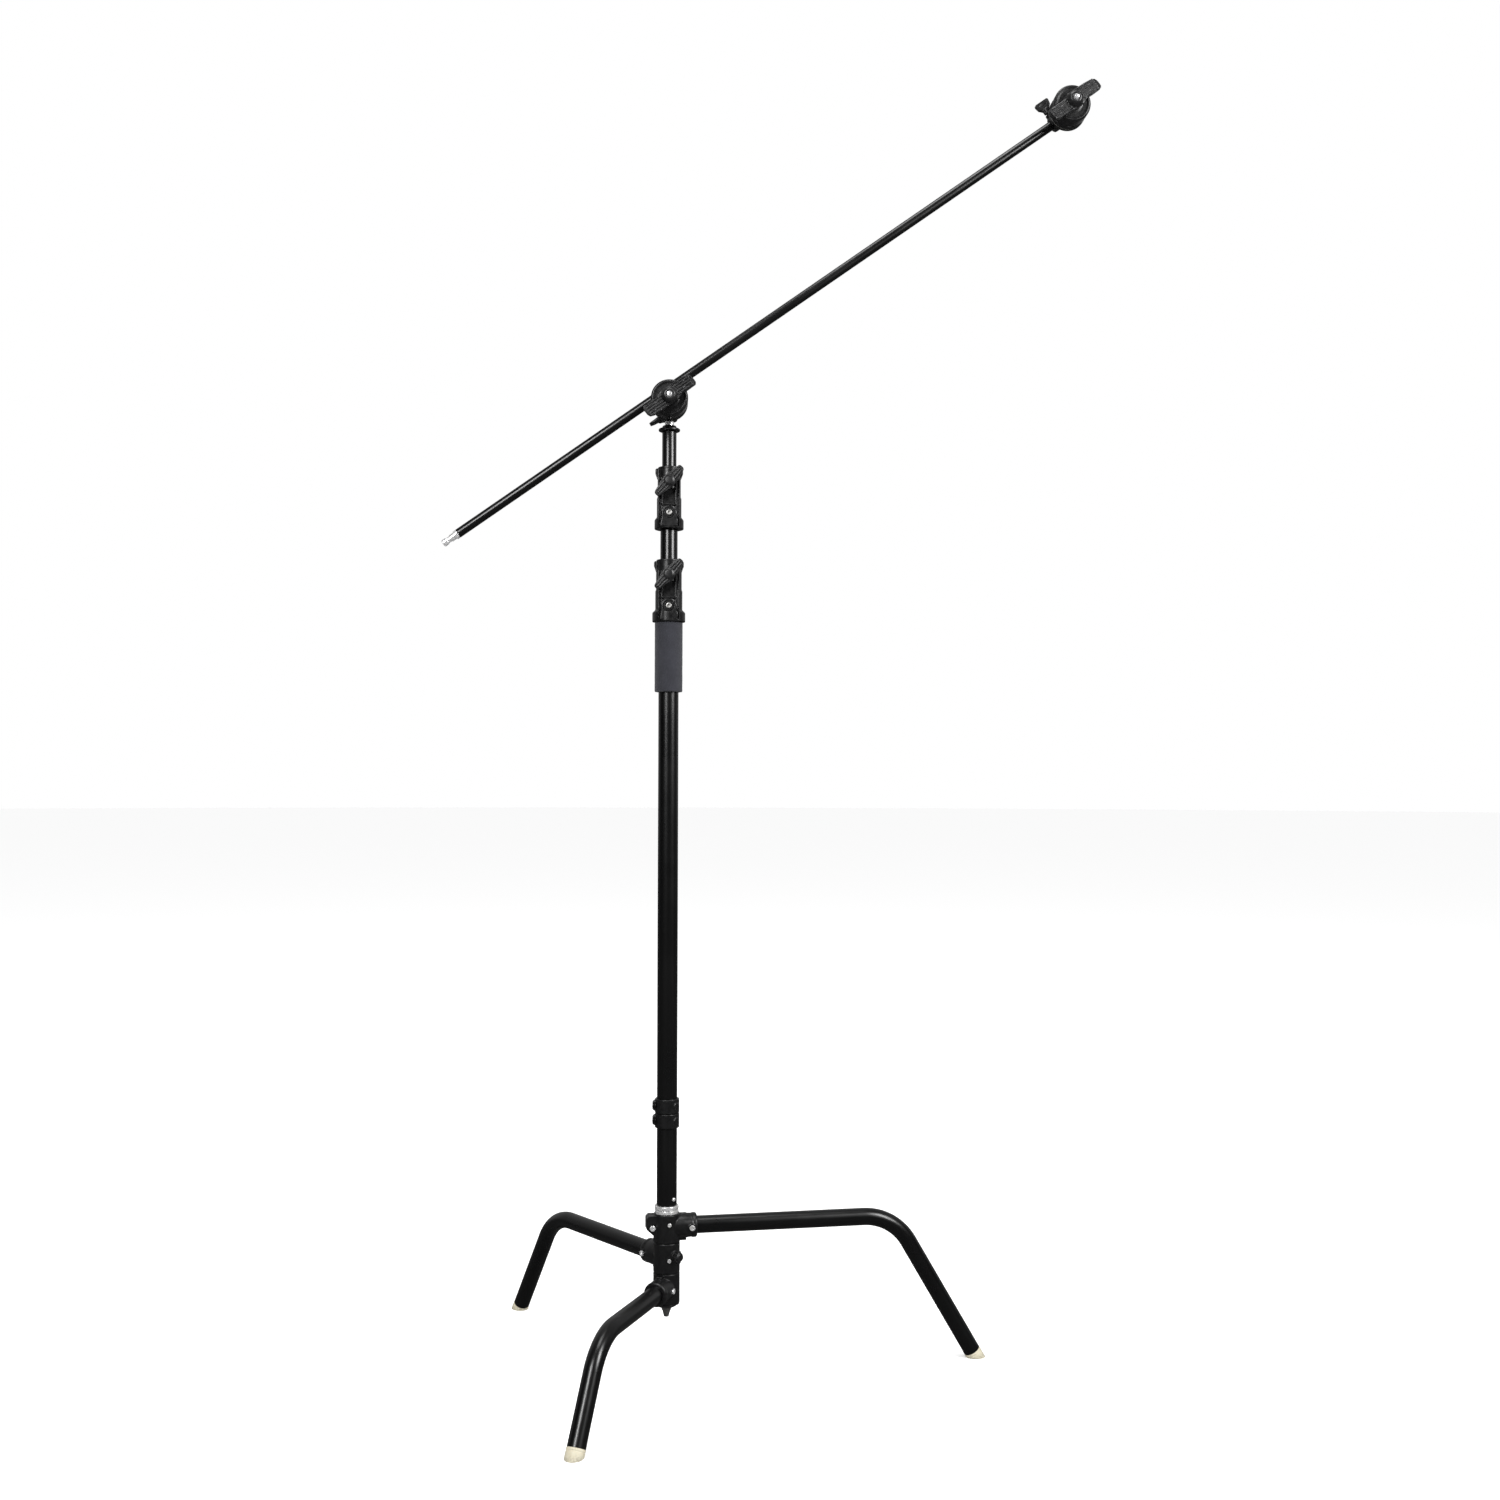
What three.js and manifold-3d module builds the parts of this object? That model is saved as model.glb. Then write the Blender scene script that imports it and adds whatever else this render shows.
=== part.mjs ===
// Century stand: a folding three-leg base, a lift-out column with two risers, two grip heads and a grip arm.
// Millimetres, +Z up. The floor is Z = 0 and the object's box is centred on the origin in X and Y.
import * as THREE from 'three';
import { mergeVertices } from 'three/addons/utils/BufferGeometryUtils.js';
import Module from 'manifold-3d';

const wasm = await Module();
wasm.setup();

// ---- driving dimensions ----
const GAP = 0.3;
const DEG = Math.PI / 180;
// sides of a round piece: tubes and castings, studs and bolts, small screws, bent legs
const ROUND = 18;
const SMALL = 12;
const TINY = 8;
const LEG_SIDES = 16;

// base
const LEG_R = 15;
const LEG_WALL = 2;
const LEG_SLANT = 30.5 * DEG;
const LEG_BEND = 95;
const LEG_AZIMUTH = 7.4 * DEG;
const LEG_SPACING = 120 * DEG;
const LEG_RIGHT = { height: 258.6, reach: 558, screwX: 42 };
const LEG_BACK = { height: 205.9, reach: 470, screwX: 42 };
const LEG_FRONT = { height: 154.1, reach: 362, screwX: 22 };
const POST_R = 18;
const SPIGOT_R = 14.3;
const RING_R = 23;
const HUB_BOTTOM = 121;
const HUB_FLANGE = 6;
const RING_SPLIT_LOW = 180;
const RING_SPLIT_HIGH = 232;
const HUB_TOP = 281;
const SOCKET_R = 21;
const SOCKET_END = 52;

// column and risers
const MAIN_R = 17.5;
const MIDDLE_R = 15;
const TOP_R = 12.5;
const TUBE_WALL = 1.5;
const SILVER_RING_TOP = 295;
const COUPLING_SPLIT = 454;
const COUPLING_HALF = 25;
const FOAM_BOTTOM = 1184;
const FOAM_R = 24.25;
const LOWER_LOCK_Z = 1306;
const UPPER_LOCK_Z = 1468;
const LOCK_H = 108.5;
const TUBE_INTO_LOCK = 64;
const GUIDE_Z = 545;
const TOP_GUIDE_Z = 640;
const STAND_TOP = 1652.5;

// grip heads and arm
const STUD_R = 7.94;
const ARM_SLOPE = 35.3 * DEG;
const BOLT_Z = 1686.5;
const ARM_OFFSET = 17.6;
const ARM_Y = -34;
const ARM_LOW_END = -430.5;
const ARM_HEAD_2 = 859.5;
const PLATE_R = 32;

// ---- materials ----
const paint = (color, roughness, metalness) => new THREE.MeshStandardMaterial({ color, roughness, metalness });
const black = () => paint(0x101112, 0.35, 0.6);
const casting = () => paint(0x1b1c1e, 0.5, 0.5);
const silver = () => paint(0xc9cacb, 0.25, 1);
const dullSteel = () => paint(0x9a9a98, 0.45, 1);
const plastic = () => paint(0x141416, 0.55, 0);
const ivory = () => paint(0xcdc8b4, 0.6, 0);
const foam = () => paint(0x3a3b44, 0.9, 0);
const fibre = () => paint(0x4a4a48, 0.8, 0);

// ---- solid helpers ----
function solid(geometry) {
  geometry.deleteAttribute('normal');
  geometry.deleteAttribute('uv');
  const merged = mergeVertices(geometry, 1e-4);
  const mesh = new wasm.Mesh({
    numProp: 3,
    vertProperties: new Float32Array(merged.attributes.position.array),
    triVerts: new Uint32Array(merged.index.array),
  });
  return new wasm.Manifold(mesh);
}

function cut(body, ...tools) {
  return tools.reduce((rest, tool) => rest.subtract(tool), body);
}

function join(body, ...others) {
  return others.reduce((whole, other) => whole.add(other), body);
}

// A solid of revolution about Z from [radius, z] points listed from the bottom up along the outside.
function turned(points, sides = ROUND) {
  const outline = points.map(([r, z]) => new THREE.Vector2(r, z));
  if (points[0][0] > 0) outline.push(outline[0].clone());
  const geometry = new THREE.LatheGeometry(outline, sides);
  return solid(geometry.rotateX(Math.PI / 2));
}

// A hollow round part: bore radius, then the outside points from the bottom up.
function sleeve(bore, outside, sides = ROUND) {
  const low = outside[0][1];
  const high = outside[outside.length - 1][1];
  return turned([[bore, low], ...outside, [bore, high]], sides);
}

function rod(radius, low, high, sides = SMALL) {
  return turned([[0, low], [radius, low], [radius, high], [0, high]], sides);
}

function block(x0, x1, y0, y1, z0, z1) {
  const geometry = new THREE.BoxGeometry(x1 - x0, y1 - y0, z1 - z0);
  return solid(geometry.translate((x0 + x1) / 2, (y0 + y1) / 2, (z0 + z1) / 2));
}

// A flat outline of [a, b] points, extruded along +Z from low to high.
function slab(points, low, high) {
  const shape = new THREE.Shape(points.map(([a, b]) => new THREE.Vector2(a, b)));
  const geometry = new THREE.ExtrudeGeometry(shape, { depth: high - low, bevelEnabled: false });
  return solid(geometry.translate(0, 0, low));
}

// Moves a solid built along Z so that its axis points along the given direction from the given place.
function along(body, direction, place = [0, 0, 0]) {
  const turn = new THREE.Quaternion().setFromUnitVectors(
    new THREE.Vector3(0, 0, 1), new THREE.Vector3(...direction).normalize());
  const matrix = new THREE.Matrix4().makeRotationFromQuaternion(turn);
  matrix.setPosition(...place);
  return body.transform(matrix.elements);
}

// Stands an outline built in X and Z (given as a slab along Z) upright, with its thickness along -Y.
function upright(body) {
  return body.rotate([90, 0, 0]);
}

function named(name, body, material) {
  const { vertProperties, triVerts, numProp } = body.getMesh();
  const geometry = new THREE.BufferGeometry();
  const xyz = new Float32Array((vertProperties.length / numProp) * 3);
  for (let i = 0; i < xyz.length / 3; i += 1) {
    for (let k = 0; k < 3; k += 1) xyz[3 * i + k] = vertProperties[numProp * i + k];
  }
  geometry.setAttribute('position', new THREE.BufferAttribute(xyz, 3));
  geometry.setIndex(new THREE.BufferAttribute(new Uint32Array(triVerts), 1));
  geometry.computeVertexNormals();
  const mesh = new THREE.Mesh(geometry, material);
  mesh.name = name;
  return mesh;
}

function group(...children) {
  const holder = new THREE.Group();
  holder.add(...children);
  return holder;
}

// A socket-head screw along +Z: the head stands on z = 0 and the shank goes below it.
function screw(headR, headH, shankR, shankLength) {
  const body = turned([[0, -shankLength], [shankR, -shankLength], [shankR, 0], [headR, 0],
    [headR, headH - 0.5], [headR - 0.5, headH], [0, headH]], TINY);
  return cut(body, rod(headR * 0.5, headH - 1.4, headH + 1, 6));
}

// ---- legs ----
// The centre line of a leg in its own X-Z plane: level, one round bend, then down to the floor.
class LegLine extends THREE.Curve {
  constructor(height, reach, start, cutBack) {
    super();
    const turn = Math.PI / 2 - LEG_SLANT;
    const tangent = LEG_BEND * Math.tan(turn / 2);
    const knee = reach - height * Math.tan(LEG_SLANT);
    const bendSteps = 6;
    this.knots = [{ x: start, z: height, angle: 0 }];
    for (let i = 0; i <= bendSteps; i += 1) {
      const angle = (turn * i) / bendSteps;
      const x = knee - tangent + LEG_BEND * Math.sin(angle);
      this.knots.push({ x, z: height - LEG_BEND * (1 - Math.cos(angle)), angle });
    }
    const x = reach - cutBack * Math.sin(LEG_SLANT);
    this.knots.push({ x, z: cutBack * Math.cos(LEG_SLANT), angle: turn });
    this.steps = this.knots.length - 1;
  }

  knot(t) {
    return this.knots[Math.round(t * this.steps)];
  }

  getPointAt(t, target = new THREE.Vector3()) {
    return target.set(this.knot(t).x, 0, this.knot(t).z);
  }

  getTangentAt(t, target = new THREE.Vector3()) {
    return target.set(Math.cos(this.knot(t).angle), 0, -Math.sin(this.knot(t).angle));
  }

  getSpacedPoints() {
    return this.knots.map((knot) => new THREE.Vector3(knot.x, 0, knot.z));
  }
}

function bentRod(line, radius, sides) {
  const shape = new THREE.Shape();
  for (let i = 0; i < sides; i += 1) {
    const angle = (2 * Math.PI * (i + 0.5)) / sides;
    const move = i === 0 ? 'moveTo' : 'lineTo';
    shape[move](radius * Math.cos(angle), radius * Math.sin(angle));
  }
  shape.closePath();
  const options = { steps: line.steps, bevelEnabled: false, extrudePath: line };
  return solid(new THREE.ExtrudeGeometry(shape, options));
}

const LEG_START = 22.3;
const FOOT_LENGTH = 14;
const FOOT_PLUG = 22;

function legTube(leg) {
  const outer = bentRod(new LegLine(leg.height, leg.reach, LEG_START, FOOT_LENGTH), LEG_R, LEG_SIDES);
  const inner = bentRod(new LegLine(leg.height, leg.reach, LEG_START - 5, FOOT_LENGTH - 5), LEG_R - LEG_WALL, TINY);
  return cut(outer, inner);
}

function legFoot(leg) {
  const footR = (LEG_R + 0.2) / Math.cos(Math.PI / SMALL);
  const plugR = (LEG_R - LEG_WALL) * Math.cos(Math.PI / TINY) - GAP;
  const body = turned([[0, -20], [footR, -20], [footR, FOOT_LENGTH - GAP], [plugR, FOOT_LENGTH - GAP],
    [plugR, FOOT_LENGTH + FOOT_PLUG], [0, FOOT_LENGTH + FOOT_PLUG]], SMALL);
  const slanted = along(body, [-Math.sin(LEG_SLANT), 0, Math.cos(LEG_SLANT)], [leg.reach, 0, 0]);
  return cut(slanted, block(leg.reach - 80, leg.reach + 80, -40, 40, -60, 0));
}

// A ring round the post with a socket for its leg along +X.
function legRing(low, high, leg) {
  const bore = (POST_R + GAP) / Math.cos(Math.PI / ROUND);
  const ring = turned([[0, low], [RING_R - 1, low], [RING_R, low + 1], [RING_R, high - 1],
    [RING_R - 1, high], [0, high]], ROUND);
  const socket = turned([[0, 0], [SOCKET_R, 0], [SOCKET_R, SOCKET_END - 3], [SOCKET_R - 2, SOCKET_END],
    [0, SOCKET_END]], ROUND);
  const tubeHole = rod((LEG_R + GAP) / Math.cos(Math.PI / SMALL), LEG_START - GAP, SOCKET_END + 5, SMALL);
  const whole = join(ring, along(socket, [1, 0, 0], [0, 0, leg.height]));
  return cut(whole, rod(bore, low - 5, high + 5, ROUND), along(tubeHole, [1, 0, 0], [0, 0, leg.height]));
}

const LEG_SCREW = { head: 4.8, height: 3, shank: 2.4 };
const BOSS_R = 7;

// The screw that pins a leg in its socket, on the side of the given sign of Y.
function socketScrew(ring, leg, side) {
  const place = [leg.screwX, 0, leg.height];
  const boss = rod(BOSS_R, LEG_R + 2, SOCKET_R, SMALL);
  const hole = rod(LEG_SCREW.shank + GAP, LEG_R - 2, SOCKET_R + 5, TINY);
  const direction = [0, side, 0];
  const body = screw(LEG_SCREW.head, LEG_SCREW.height, LEG_SCREW.shank, SOCKET_R - LEG_R - 0.4);
  return {
    ring: cut(join(ring, along(boss, direction, place)), along(hole, direction, place)),
    screw: along(body, direction, [leg.screwX, side * (SOCKET_R + GAP), leg.height]),
  };
}

function turnedGroup(azimuth, ...children) {
  const holder = group(...children);
  holder.rotation.z = azimuth;
  return holder;
}

// fixed right leg, with the clamp lug opposite its socket
const LUG = { x: 36, half: 12.5, low: 246, high: 279 };
const LUG_SCREW = { x: -26, z: 258.5 };
const SET_SCREW = { head: 3.4, height: 1.6, shank: 1.9, length: 4, azimuth: -78 * DEG };
const UPPER_SET_SCREW_Z = 265;
const LOWER_SET_SCREW_Z = 204;

// A small screw through a ring's front, and the ring with its hole.
function setScrew(ring, ringAzimuth, z) {
  const angle = SET_SCREW.azimuth - ringAzimuth;
  const axis = [Math.cos(angle), Math.sin(angle), 0];
  const seat = RING_R + GAP;
  return {
    ring: cut(ring, along(rod((SET_SCREW.shank + GAP) / Math.cos(Math.PI / TINY), POST_R, RING_R + 5, TINY), axis, [0, 0, z])),
    screw: along(screw(SET_SCREW.head, SET_SCREW.height, SET_SCREW.shank, SET_SCREW.length), axis,
      [axis[0] * seat, axis[1] * seat, z]),
  };
}

function buildRightLeg() {
  const ringLow = RING_SPLIT_HIGH + GAP;
  const lug = slab([[-LUG.x, LUG.low + 10], [-LUG.x, LUG.high - 4], [-LUG.x + 4, LUG.high], [-20, LUG.high],
    [-20, LUG.low - 6], [-LUG.x + 12, LUG.low - 1]], -LUG.half, LUG.half);
  let ring = legRing(ringLow, HUB_TOP, LEG_RIGHT);
  ring = join(ring, cut(upright(lug), rod(RING_R - 2, LUG.low - 20, LUG.high + 20, ROUND)));
  ring = cut(ring, block(-LUG.x - 5, -RING_R + 1, -0.8, 0.8, LUG.low - 20, LUG.high + 5));
  ring = cut(ring, along(rod(LEG_SCREW.shank + GAP, -20, 20, TINY), [0, -1, 0], [LUG_SCREW.x, 0, LUG_SCREW.z]));
  const set = setScrew(ring, LEG_AZIMUTH, UPPER_SET_SCREW_Z);
  const fitted = socketScrew(set.ring, LEG_RIGHT, -1);
  return turnedGroup(LEG_AZIMUTH,
    named('hub_top_casting', fitted.ring, casting()),
    named('right_leg_tube', legTube(LEG_RIGHT), black()),
    named('right_leg_foot', legFoot(LEG_RIGHT), ivory()),
    named('right_leg_screw', fitted.screw, silver()),
    named('hub_lug_screw', along(screw(4.8, 3, 2.4, 18), [0, -1, 0], [LUG_SCREW.x, -LUG.half - GAP, LUG_SCREW.z]),
      silver()),
    named('hub_set_screw', set.screw, silver()));
}

// back leg, with the knob that locks its ring to the post
const KNOB_Z = 211;
const KNOB_AZIMUTH = -50 * DEG;

function buildBackLeg() {
  const azimuth = LEG_AZIMUTH + LEG_SPACING;
  let ring = legRing(RING_SPLIT_LOW + GAP, RING_SPLIT_HIGH, LEG_BACK);
  const axis = [Math.cos(KNOB_AZIMUTH - azimuth), Math.sin(KNOB_AZIMUTH - azimuth), 0];
  ring = join(ring, cut(along(rod(9, RING_R - 4, RING_R + 3, SMALL), axis, [0, 0, KNOB_Z]),
    rod(POST_R + 2, KNOB_Z - 20, KNOB_Z + 20, ROUND)));
  ring = cut(ring, along(rod(3 + GAP, POST_R, RING_R + 8, TINY), axis, [0, 0, KNOB_Z]));
  const set = setScrew(ring, azimuth, LOWER_SET_SCREW_Z);
  const fitted = socketScrew(set.ring, LEG_BACK, 1);
  const wing = slab([[-12, 2], [-9, -3.5], [9, -3.5], [12, 2], [9, 4.5], [-9, 4.5]], -3, 3);
  const neck = turned([[0, POST_R + 0.6], [3, POST_R + 0.6], [3, RING_R + 3.4], [7.5, RING_R + 3.4],
    [7.5, RING_R + 13], [5.5, RING_R + 15], [0, RING_R + 15]], SMALL);
  const knob = join(neck, wing.translate([0, 0, RING_R + 9]));
  return turnedGroup(azimuth,
    named('back_leg_ring', fitted.ring, casting()),
    named('back_leg_tube', legTube(LEG_BACK), black()),
    named('back_leg_foot', legFoot(LEG_BACK), ivory()),
    named('back_leg_screw', fitted.screw, silver()),
    named('back_ring_screw', set.screw, silver()),
    named('leg_lock_knob', along(knob, axis, [0, 0, KNOB_Z]), plastic()));
}

// front leg
function buildFrontLeg() {
  const low = HUB_BOTTOM + HUB_FLANGE + GAP;
  const fitted = socketScrew(legRing(low, RING_SPLIT_LOW, LEG_FRONT), LEG_FRONT, 1);
  return turnedGroup(LEG_AZIMUTH - LEG_SPACING,
    named('front_leg_ring', fitted.ring, casting()),
    named('front_leg_tube', legTube(LEG_FRONT), black()),
    named('front_leg_foot', legFoot(LEG_FRONT), ivory()),
    named('front_leg_screw', fitted.screw, silver()));
}

// centre post, its nut and the silver receiver ring
function buildPost() {
  const bore = (SPIGOT_R + GAP) / Math.cos(Math.PI / ROUND);
  const post = cut(turned([[0, HUB_BOTTOM], [RING_R - 8, HUB_BOTTOM], [RING_R - 0.5, HUB_BOTTOM + 5],
    [RING_R - 0.5, HUB_BOTTOM + HUB_FLANGE], [POST_R, HUB_BOTTOM + HUB_FLANGE], [POST_R, HUB_TOP - GAP],
    [0, HUB_TOP - GAP]], ROUND), rod(bore, HUB_BOTTOM + 8, HUB_TOP + 5, ROUND));
  const nut = join(rod(8.5, HUB_BOTTOM - 7, HUB_BOTTOM - GAP, 6),
    turned([[0, HUB_BOTTOM - 18], [4.2, HUB_BOTTOM - 18], [6.6, HUB_BOTTOM - 9], [6.6, HUB_BOTTOM - 6],
      [0, HUB_BOTTOM - 6]], SMALL));
  const low = HUB_TOP + GAP;
  const high = SILVER_RING_TOP;
  const edge = 20.8;
  const groove = 19.2;
  const ring = sleeve(bore, [[edge - 0.6, low], [edge, low + 1], [edge, low + 5], [groove, low + 5.6],
    [groove, low + 7.4], [edge, low + 8], [edge, high - 1], [edge - 0.8, high]], ROUND);
  return group(named('centre_post', post, casting()), named('centre_nut', nut, dullSteel()),
    named('receiver_ring', ring, silver()));
}

// ---- column ----
const COLLAR_LUG = 9;

function clampCollar(low, high, lugLow, lugHigh, tubeR) {
  const outer = tubeR + 3.6;
  const bore = (tubeR + GAP) / Math.cos(Math.PI / ROUND);
  const ring = turned([[0, low], [outer - 1.5, low], [outer, low + 2], [outer, high - 1.2],
    [outer - 1, high], [0, high]], ROUND);
  const lug = block(-outer - 4.5, -outer + 8, -COLLAR_LUG, COLLAR_LUG, lugLow, lugHigh);
  const boss = along(rod(5, outer - 6, outer + 1, TINY), [0.76, -0.65, 0], [0, 0, (lugLow + lugHigh) / 2]);
  const bored = cut(join(ring, lug, boss), rod(bore, low - 5, high + 5, ROUND));
  const slit = block(-outer - 7, -tubeR + 1, -0.7, 0.7, low - 1, high + 1);
  const hole = along(rod(2.2 + GAP, -12, 12, TINY), [0, 1, 0], [-outer - 1.2, 0, (lugLow + lugHigh) / 2]);
  return cut(bored, slit, hole);
}

function collarScrew(tubeR, z) {
  return along(screw(3.4, 2.4, 2.2, 14), [0, -1, 0], [-tubeR - 4.8, -COLLAR_LUG - GAP, z]);
}

const BUTTON = { z: 307, azimuth: -47.6 * DEG, r: 3.2 };

function buildColumnTubes() {
  const spigotTop = 340;
  const axis = [Math.cos(BUTTON.azimuth), Math.sin(BUTTON.azimuth), 0];
  const buttonHole = along(rod(BUTTON.r + GAP, 8, 24, TINY), axis, [0, 0, BUTTON.z]);
  const low = SILVER_RING_TOP + GAP;
  const plugR = (MAIN_R - TUBE_WALL) * Math.cos(Math.PI / ROUND) - GAP;
  const spigot = sleeve(12, [[SPIGOT_R - 1.2, 140], [SPIGOT_R, 142], [SPIGOT_R, low], [plugR, low],
    [plugR, spigotTop]], ROUND);
  const baseTube = sleeve(MAIN_R - TUBE_WALL, [[MAIN_R, low], [MAIN_R, COUPLING_SPLIT - GAP]], ROUND);
  const button = along(turned([[0, 12.6], [BUTTON.r, 12.6], [BUTTON.r, 19.6], [BUTTON.r - 1, 20.6], [0, 20.6]],
    16), axis, [0, 0, BUTTON.z]);
  const mainTop = LOWER_LOCK_Z + TUBE_INTO_LOCK;
  const mainTube = sleeve(MAIN_R - TUBE_WALL, [[MAIN_R, COUPLING_SPLIT], [MAIN_R, mainTop]], ROUND);
  const grip = sleeve((MAIN_R + GAP) / Math.cos(Math.PI / ROUND), [[FOAM_R - 1.5, FOAM_BOTTOM],
    [FOAM_R, FOAM_BOTTOM + 1.5], [FOAM_R, LOWER_LOCK_Z - 2], [FOAM_R - 1.5, LOWER_LOCK_Z - GAP]], ROUND);
  const lowMid = COUPLING_SPLIT - 12;
  const highMid = COUPLING_SPLIT + 13;
  return group(
    named('column_spigot', cut(spigot, buttonHole), dullSteel()),
    named('base_tube', cut(baseTube, buttonHole), black()),
    named('release_button', button, silver()),
    named('coupling_lower_collar', clampCollar(COUPLING_SPLIT - COUPLING_HALF, COUPLING_SPLIT - GAP,
      lowMid - 8, lowMid + 8, MAIN_R), casting()),
    named('coupling_upper_collar', clampCollar(COUPLING_SPLIT + GAP, COUPLING_SPLIT + COUPLING_HALF,
      highMid - 8, highMid + 8, MAIN_R), casting()),
    named('coupling_lower_screw', collarScrew(MAIN_R, lowMid), dullSteel()),
    named('coupling_upper_screw', collarScrew(MAIN_R, highMid), dullSteel()),
    named('main_tube', mainTube, black()),
    named('foam_grip', grip, foam()));
}

// ---- riser locks ----
const LEVER_Z = 80;
const LOCK_SCREW_Z = 26;

const fitBore = (r) => (r + GAP) / Math.cos(Math.PI / ROUND);

// bodyR is the lower half's radius; the upper half is 1.2 mm less.
function lockCasting(lowerR, upperR, bodyR, skirtR, earR) {
  const front = -bodyR - 4;
  const shell = turned([[0, 0], [skirtR - 1, 0], [skirtR, 1], [skirtR, 16], [bodyR, 21], [bodyR, 54],
    [bodyR - 1.2, 56], [bodyR - 1.2, 86], [bodyR - 2, 90], [bodyR - 2, LOCK_H - 1], [bodyR - 3, LOCK_H],
    [0, LOCK_H]], ROUND);
  const ears = upright(slab([[-bodyR + 2, 84], [bodyR - 2, 84], [earR, 96], [earR, 104], [earR - 2, 106],
    [2 - earR, 106], [-earR, 104], [-earR, 96]], -7, 7));
  const archR = 12;
  const arch = [[-archR - 2.4, 3], [archR + 2.4, 3], [archR + 2.4, 10]];
  for (let i = 0; i <= 10; i += 1) {
    const angle = (Math.PI * i) / 10;
    arch.push([archR * Math.cos(angle), LOCK_SCREW_Z + archR * Math.sin(angle)]);
  }
  arch.push([-archR - 2.4, 10]);
  const boss = upright(slab(arch, 12, -front));
  const ribs = [-1, 1].map((side) => block(Math.min(side * 11, side * 13.5), Math.max(side * 11, side * 13.5),
    -bodyR + 0.5, -10, 22, 88));
  const leverBoss = along(rod(8, 10, -front, SMALL), [0, -1, 0], [0, 0, LEVER_Z]);
  const window = block(-10.5, 10.5, -bodyR - 3, -lowerR - 1.5, 42, 70);
  const whole = cut(join(shell, ears, boss, ...ribs), window);
  return cut(join(whole, leverBoss),
    rod(fitBore(lowerR), -5, TUBE_INTO_LOCK + GAP, ROUND),
    rod(fitBore(upperR), 20, LOCK_H + 5, ROUND),
    along(rod(4.4, 5, bodyR + 10, SMALL), [0, -1, 0], [0, 0, LEVER_Z]),
    along(rod(2.5 + GAP, 5, bodyR + 10, TINY), [0, -1, 0], [0, 0, LOCK_SCREW_Z]));
}

const LEVER_TURN = -48 * DEG;

function lockLever(upperR, bodyR) {
  const inner = bodyR + 4.6;
  const wing = [[-33, -3], [-31, -6], [-16, -9], [-9, -11], [9, -11], [16, -9], [31, -6], [33, -3],
    [33, 3], [31, 6], [16, 9], [9, 11], [-9, 11], [-16, 9], [-31, 6], [-33, 3]];
  const arms = slab(wing, inner + 1, inner + 10);
  const hub = turned([[0, upperR + 3.6], [4, upperR + 3.6], [4, inner], [9, inner], [9, inner + 12],
    [7, inner + 13.5], [0, inner + 13.5]], SMALL);
  return upright(join(arms, hub));
}

function buildLock(prefix, base, lowerR, upperR, bodyR, skirtR, earR) {
  const shoe = along(rod(4, upperR + 0.5, upperR + 3.2, SMALL), [0, -1, 0], [0, 0, LEVER_Z]);
  const bossScrew = along(screw(5, 3, 2.5, bodyR + 4 - lowerR - 0.8), [0, -1, 0],
    [0, -bodyR - 4 - GAP, LOCK_SCREW_Z]);
  const lever = named(`${prefix}_lock_lever`, lockLever(upperR, bodyR), plastic());
  lever.position.z = LEVER_Z;
  lever.rotation.y = LEVER_TURN;
  const holder = group(
    named(`${prefix}_lock_casting`, lockCasting(lowerR, upperR, bodyR, skirtR, earR), casting()),
    named(`${prefix}_lock_screw`, bossScrew, silver()),
    named(`${prefix}_lock_shoe`, shoe, fibre()),
    lever);
  holder.position.z = base;
  return holder;
}

// ---- risers ----
function riserTube(name, outerR, low, high) {
  return named(name, sleeve(outerR - TUBE_WALL, [[outerR, low], [outerR, high]], ROUND), black());
}

// The sliding guide under a riser tube: a collar that fits the tube outside, and a plug inside its own tube.
function riserGuide(name, tubeR, low) {
  const collarR = (tubeR + 1) * Math.cos(Math.PI / ROUND) - GAP;
  const plugR = (tubeR - TUBE_WALL) * Math.cos(Math.PI / ROUND) - GAP;
  const body = sleeve(7, [[collarR, low - 20], [collarR, low - GAP], [plugR, low - GAP], [plugR, low + 15]], ROUND);
  return named(name, body, plastic());
}

function buildRisers() {
  const tubeTop = STAND_TOP - 13.5;
  const plugR = (TOP_R - TUBE_WALL) * Math.cos(Math.PI / ROUND) - GAP;
  const collar = sleeve((STUD_R + GAP) / Math.cos(Math.PI / SMALL), [[17.6, tubeTop + GAP], [18.8, tubeTop + 1.5],
    [18.8, tubeTop + 4], [13, tubeTop + 10], [12.6, STAND_TOP]], ROUND);
  const studTop = BOLT_Z + 6;
  const stud = turned([[0, tubeTop - 40], [plugR, tubeTop - 40], [plugR, tubeTop - 1], [STUD_R, tubeTop - 1],
    [STUD_R, STAND_TOP + 6], [STUD_R - 1, STAND_TOP + 7.5], [STUD_R - 1, STAND_TOP + 15],
    [STUD_R, STAND_TOP + 16.5], [STUD_R, studTop - 1], [STUD_R - 1, studTop], [0, studTop]], SMALL);
  return group(
    riserTube('middle_tube', MIDDLE_R, GUIDE_Z, UPPER_LOCK_Z + TUBE_INTO_LOCK),
    riserGuide('middle_tube_guide', MIDDLE_R, GUIDE_Z),
    riserTube('top_tube', TOP_R, TOP_GUIDE_Z, tubeTop),
    riserGuide('top_tube_guide', TOP_R, TOP_GUIDE_Z),
    named('top_collar', collar, casting()),
    named('top_stud', stud, silver()));
}

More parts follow.
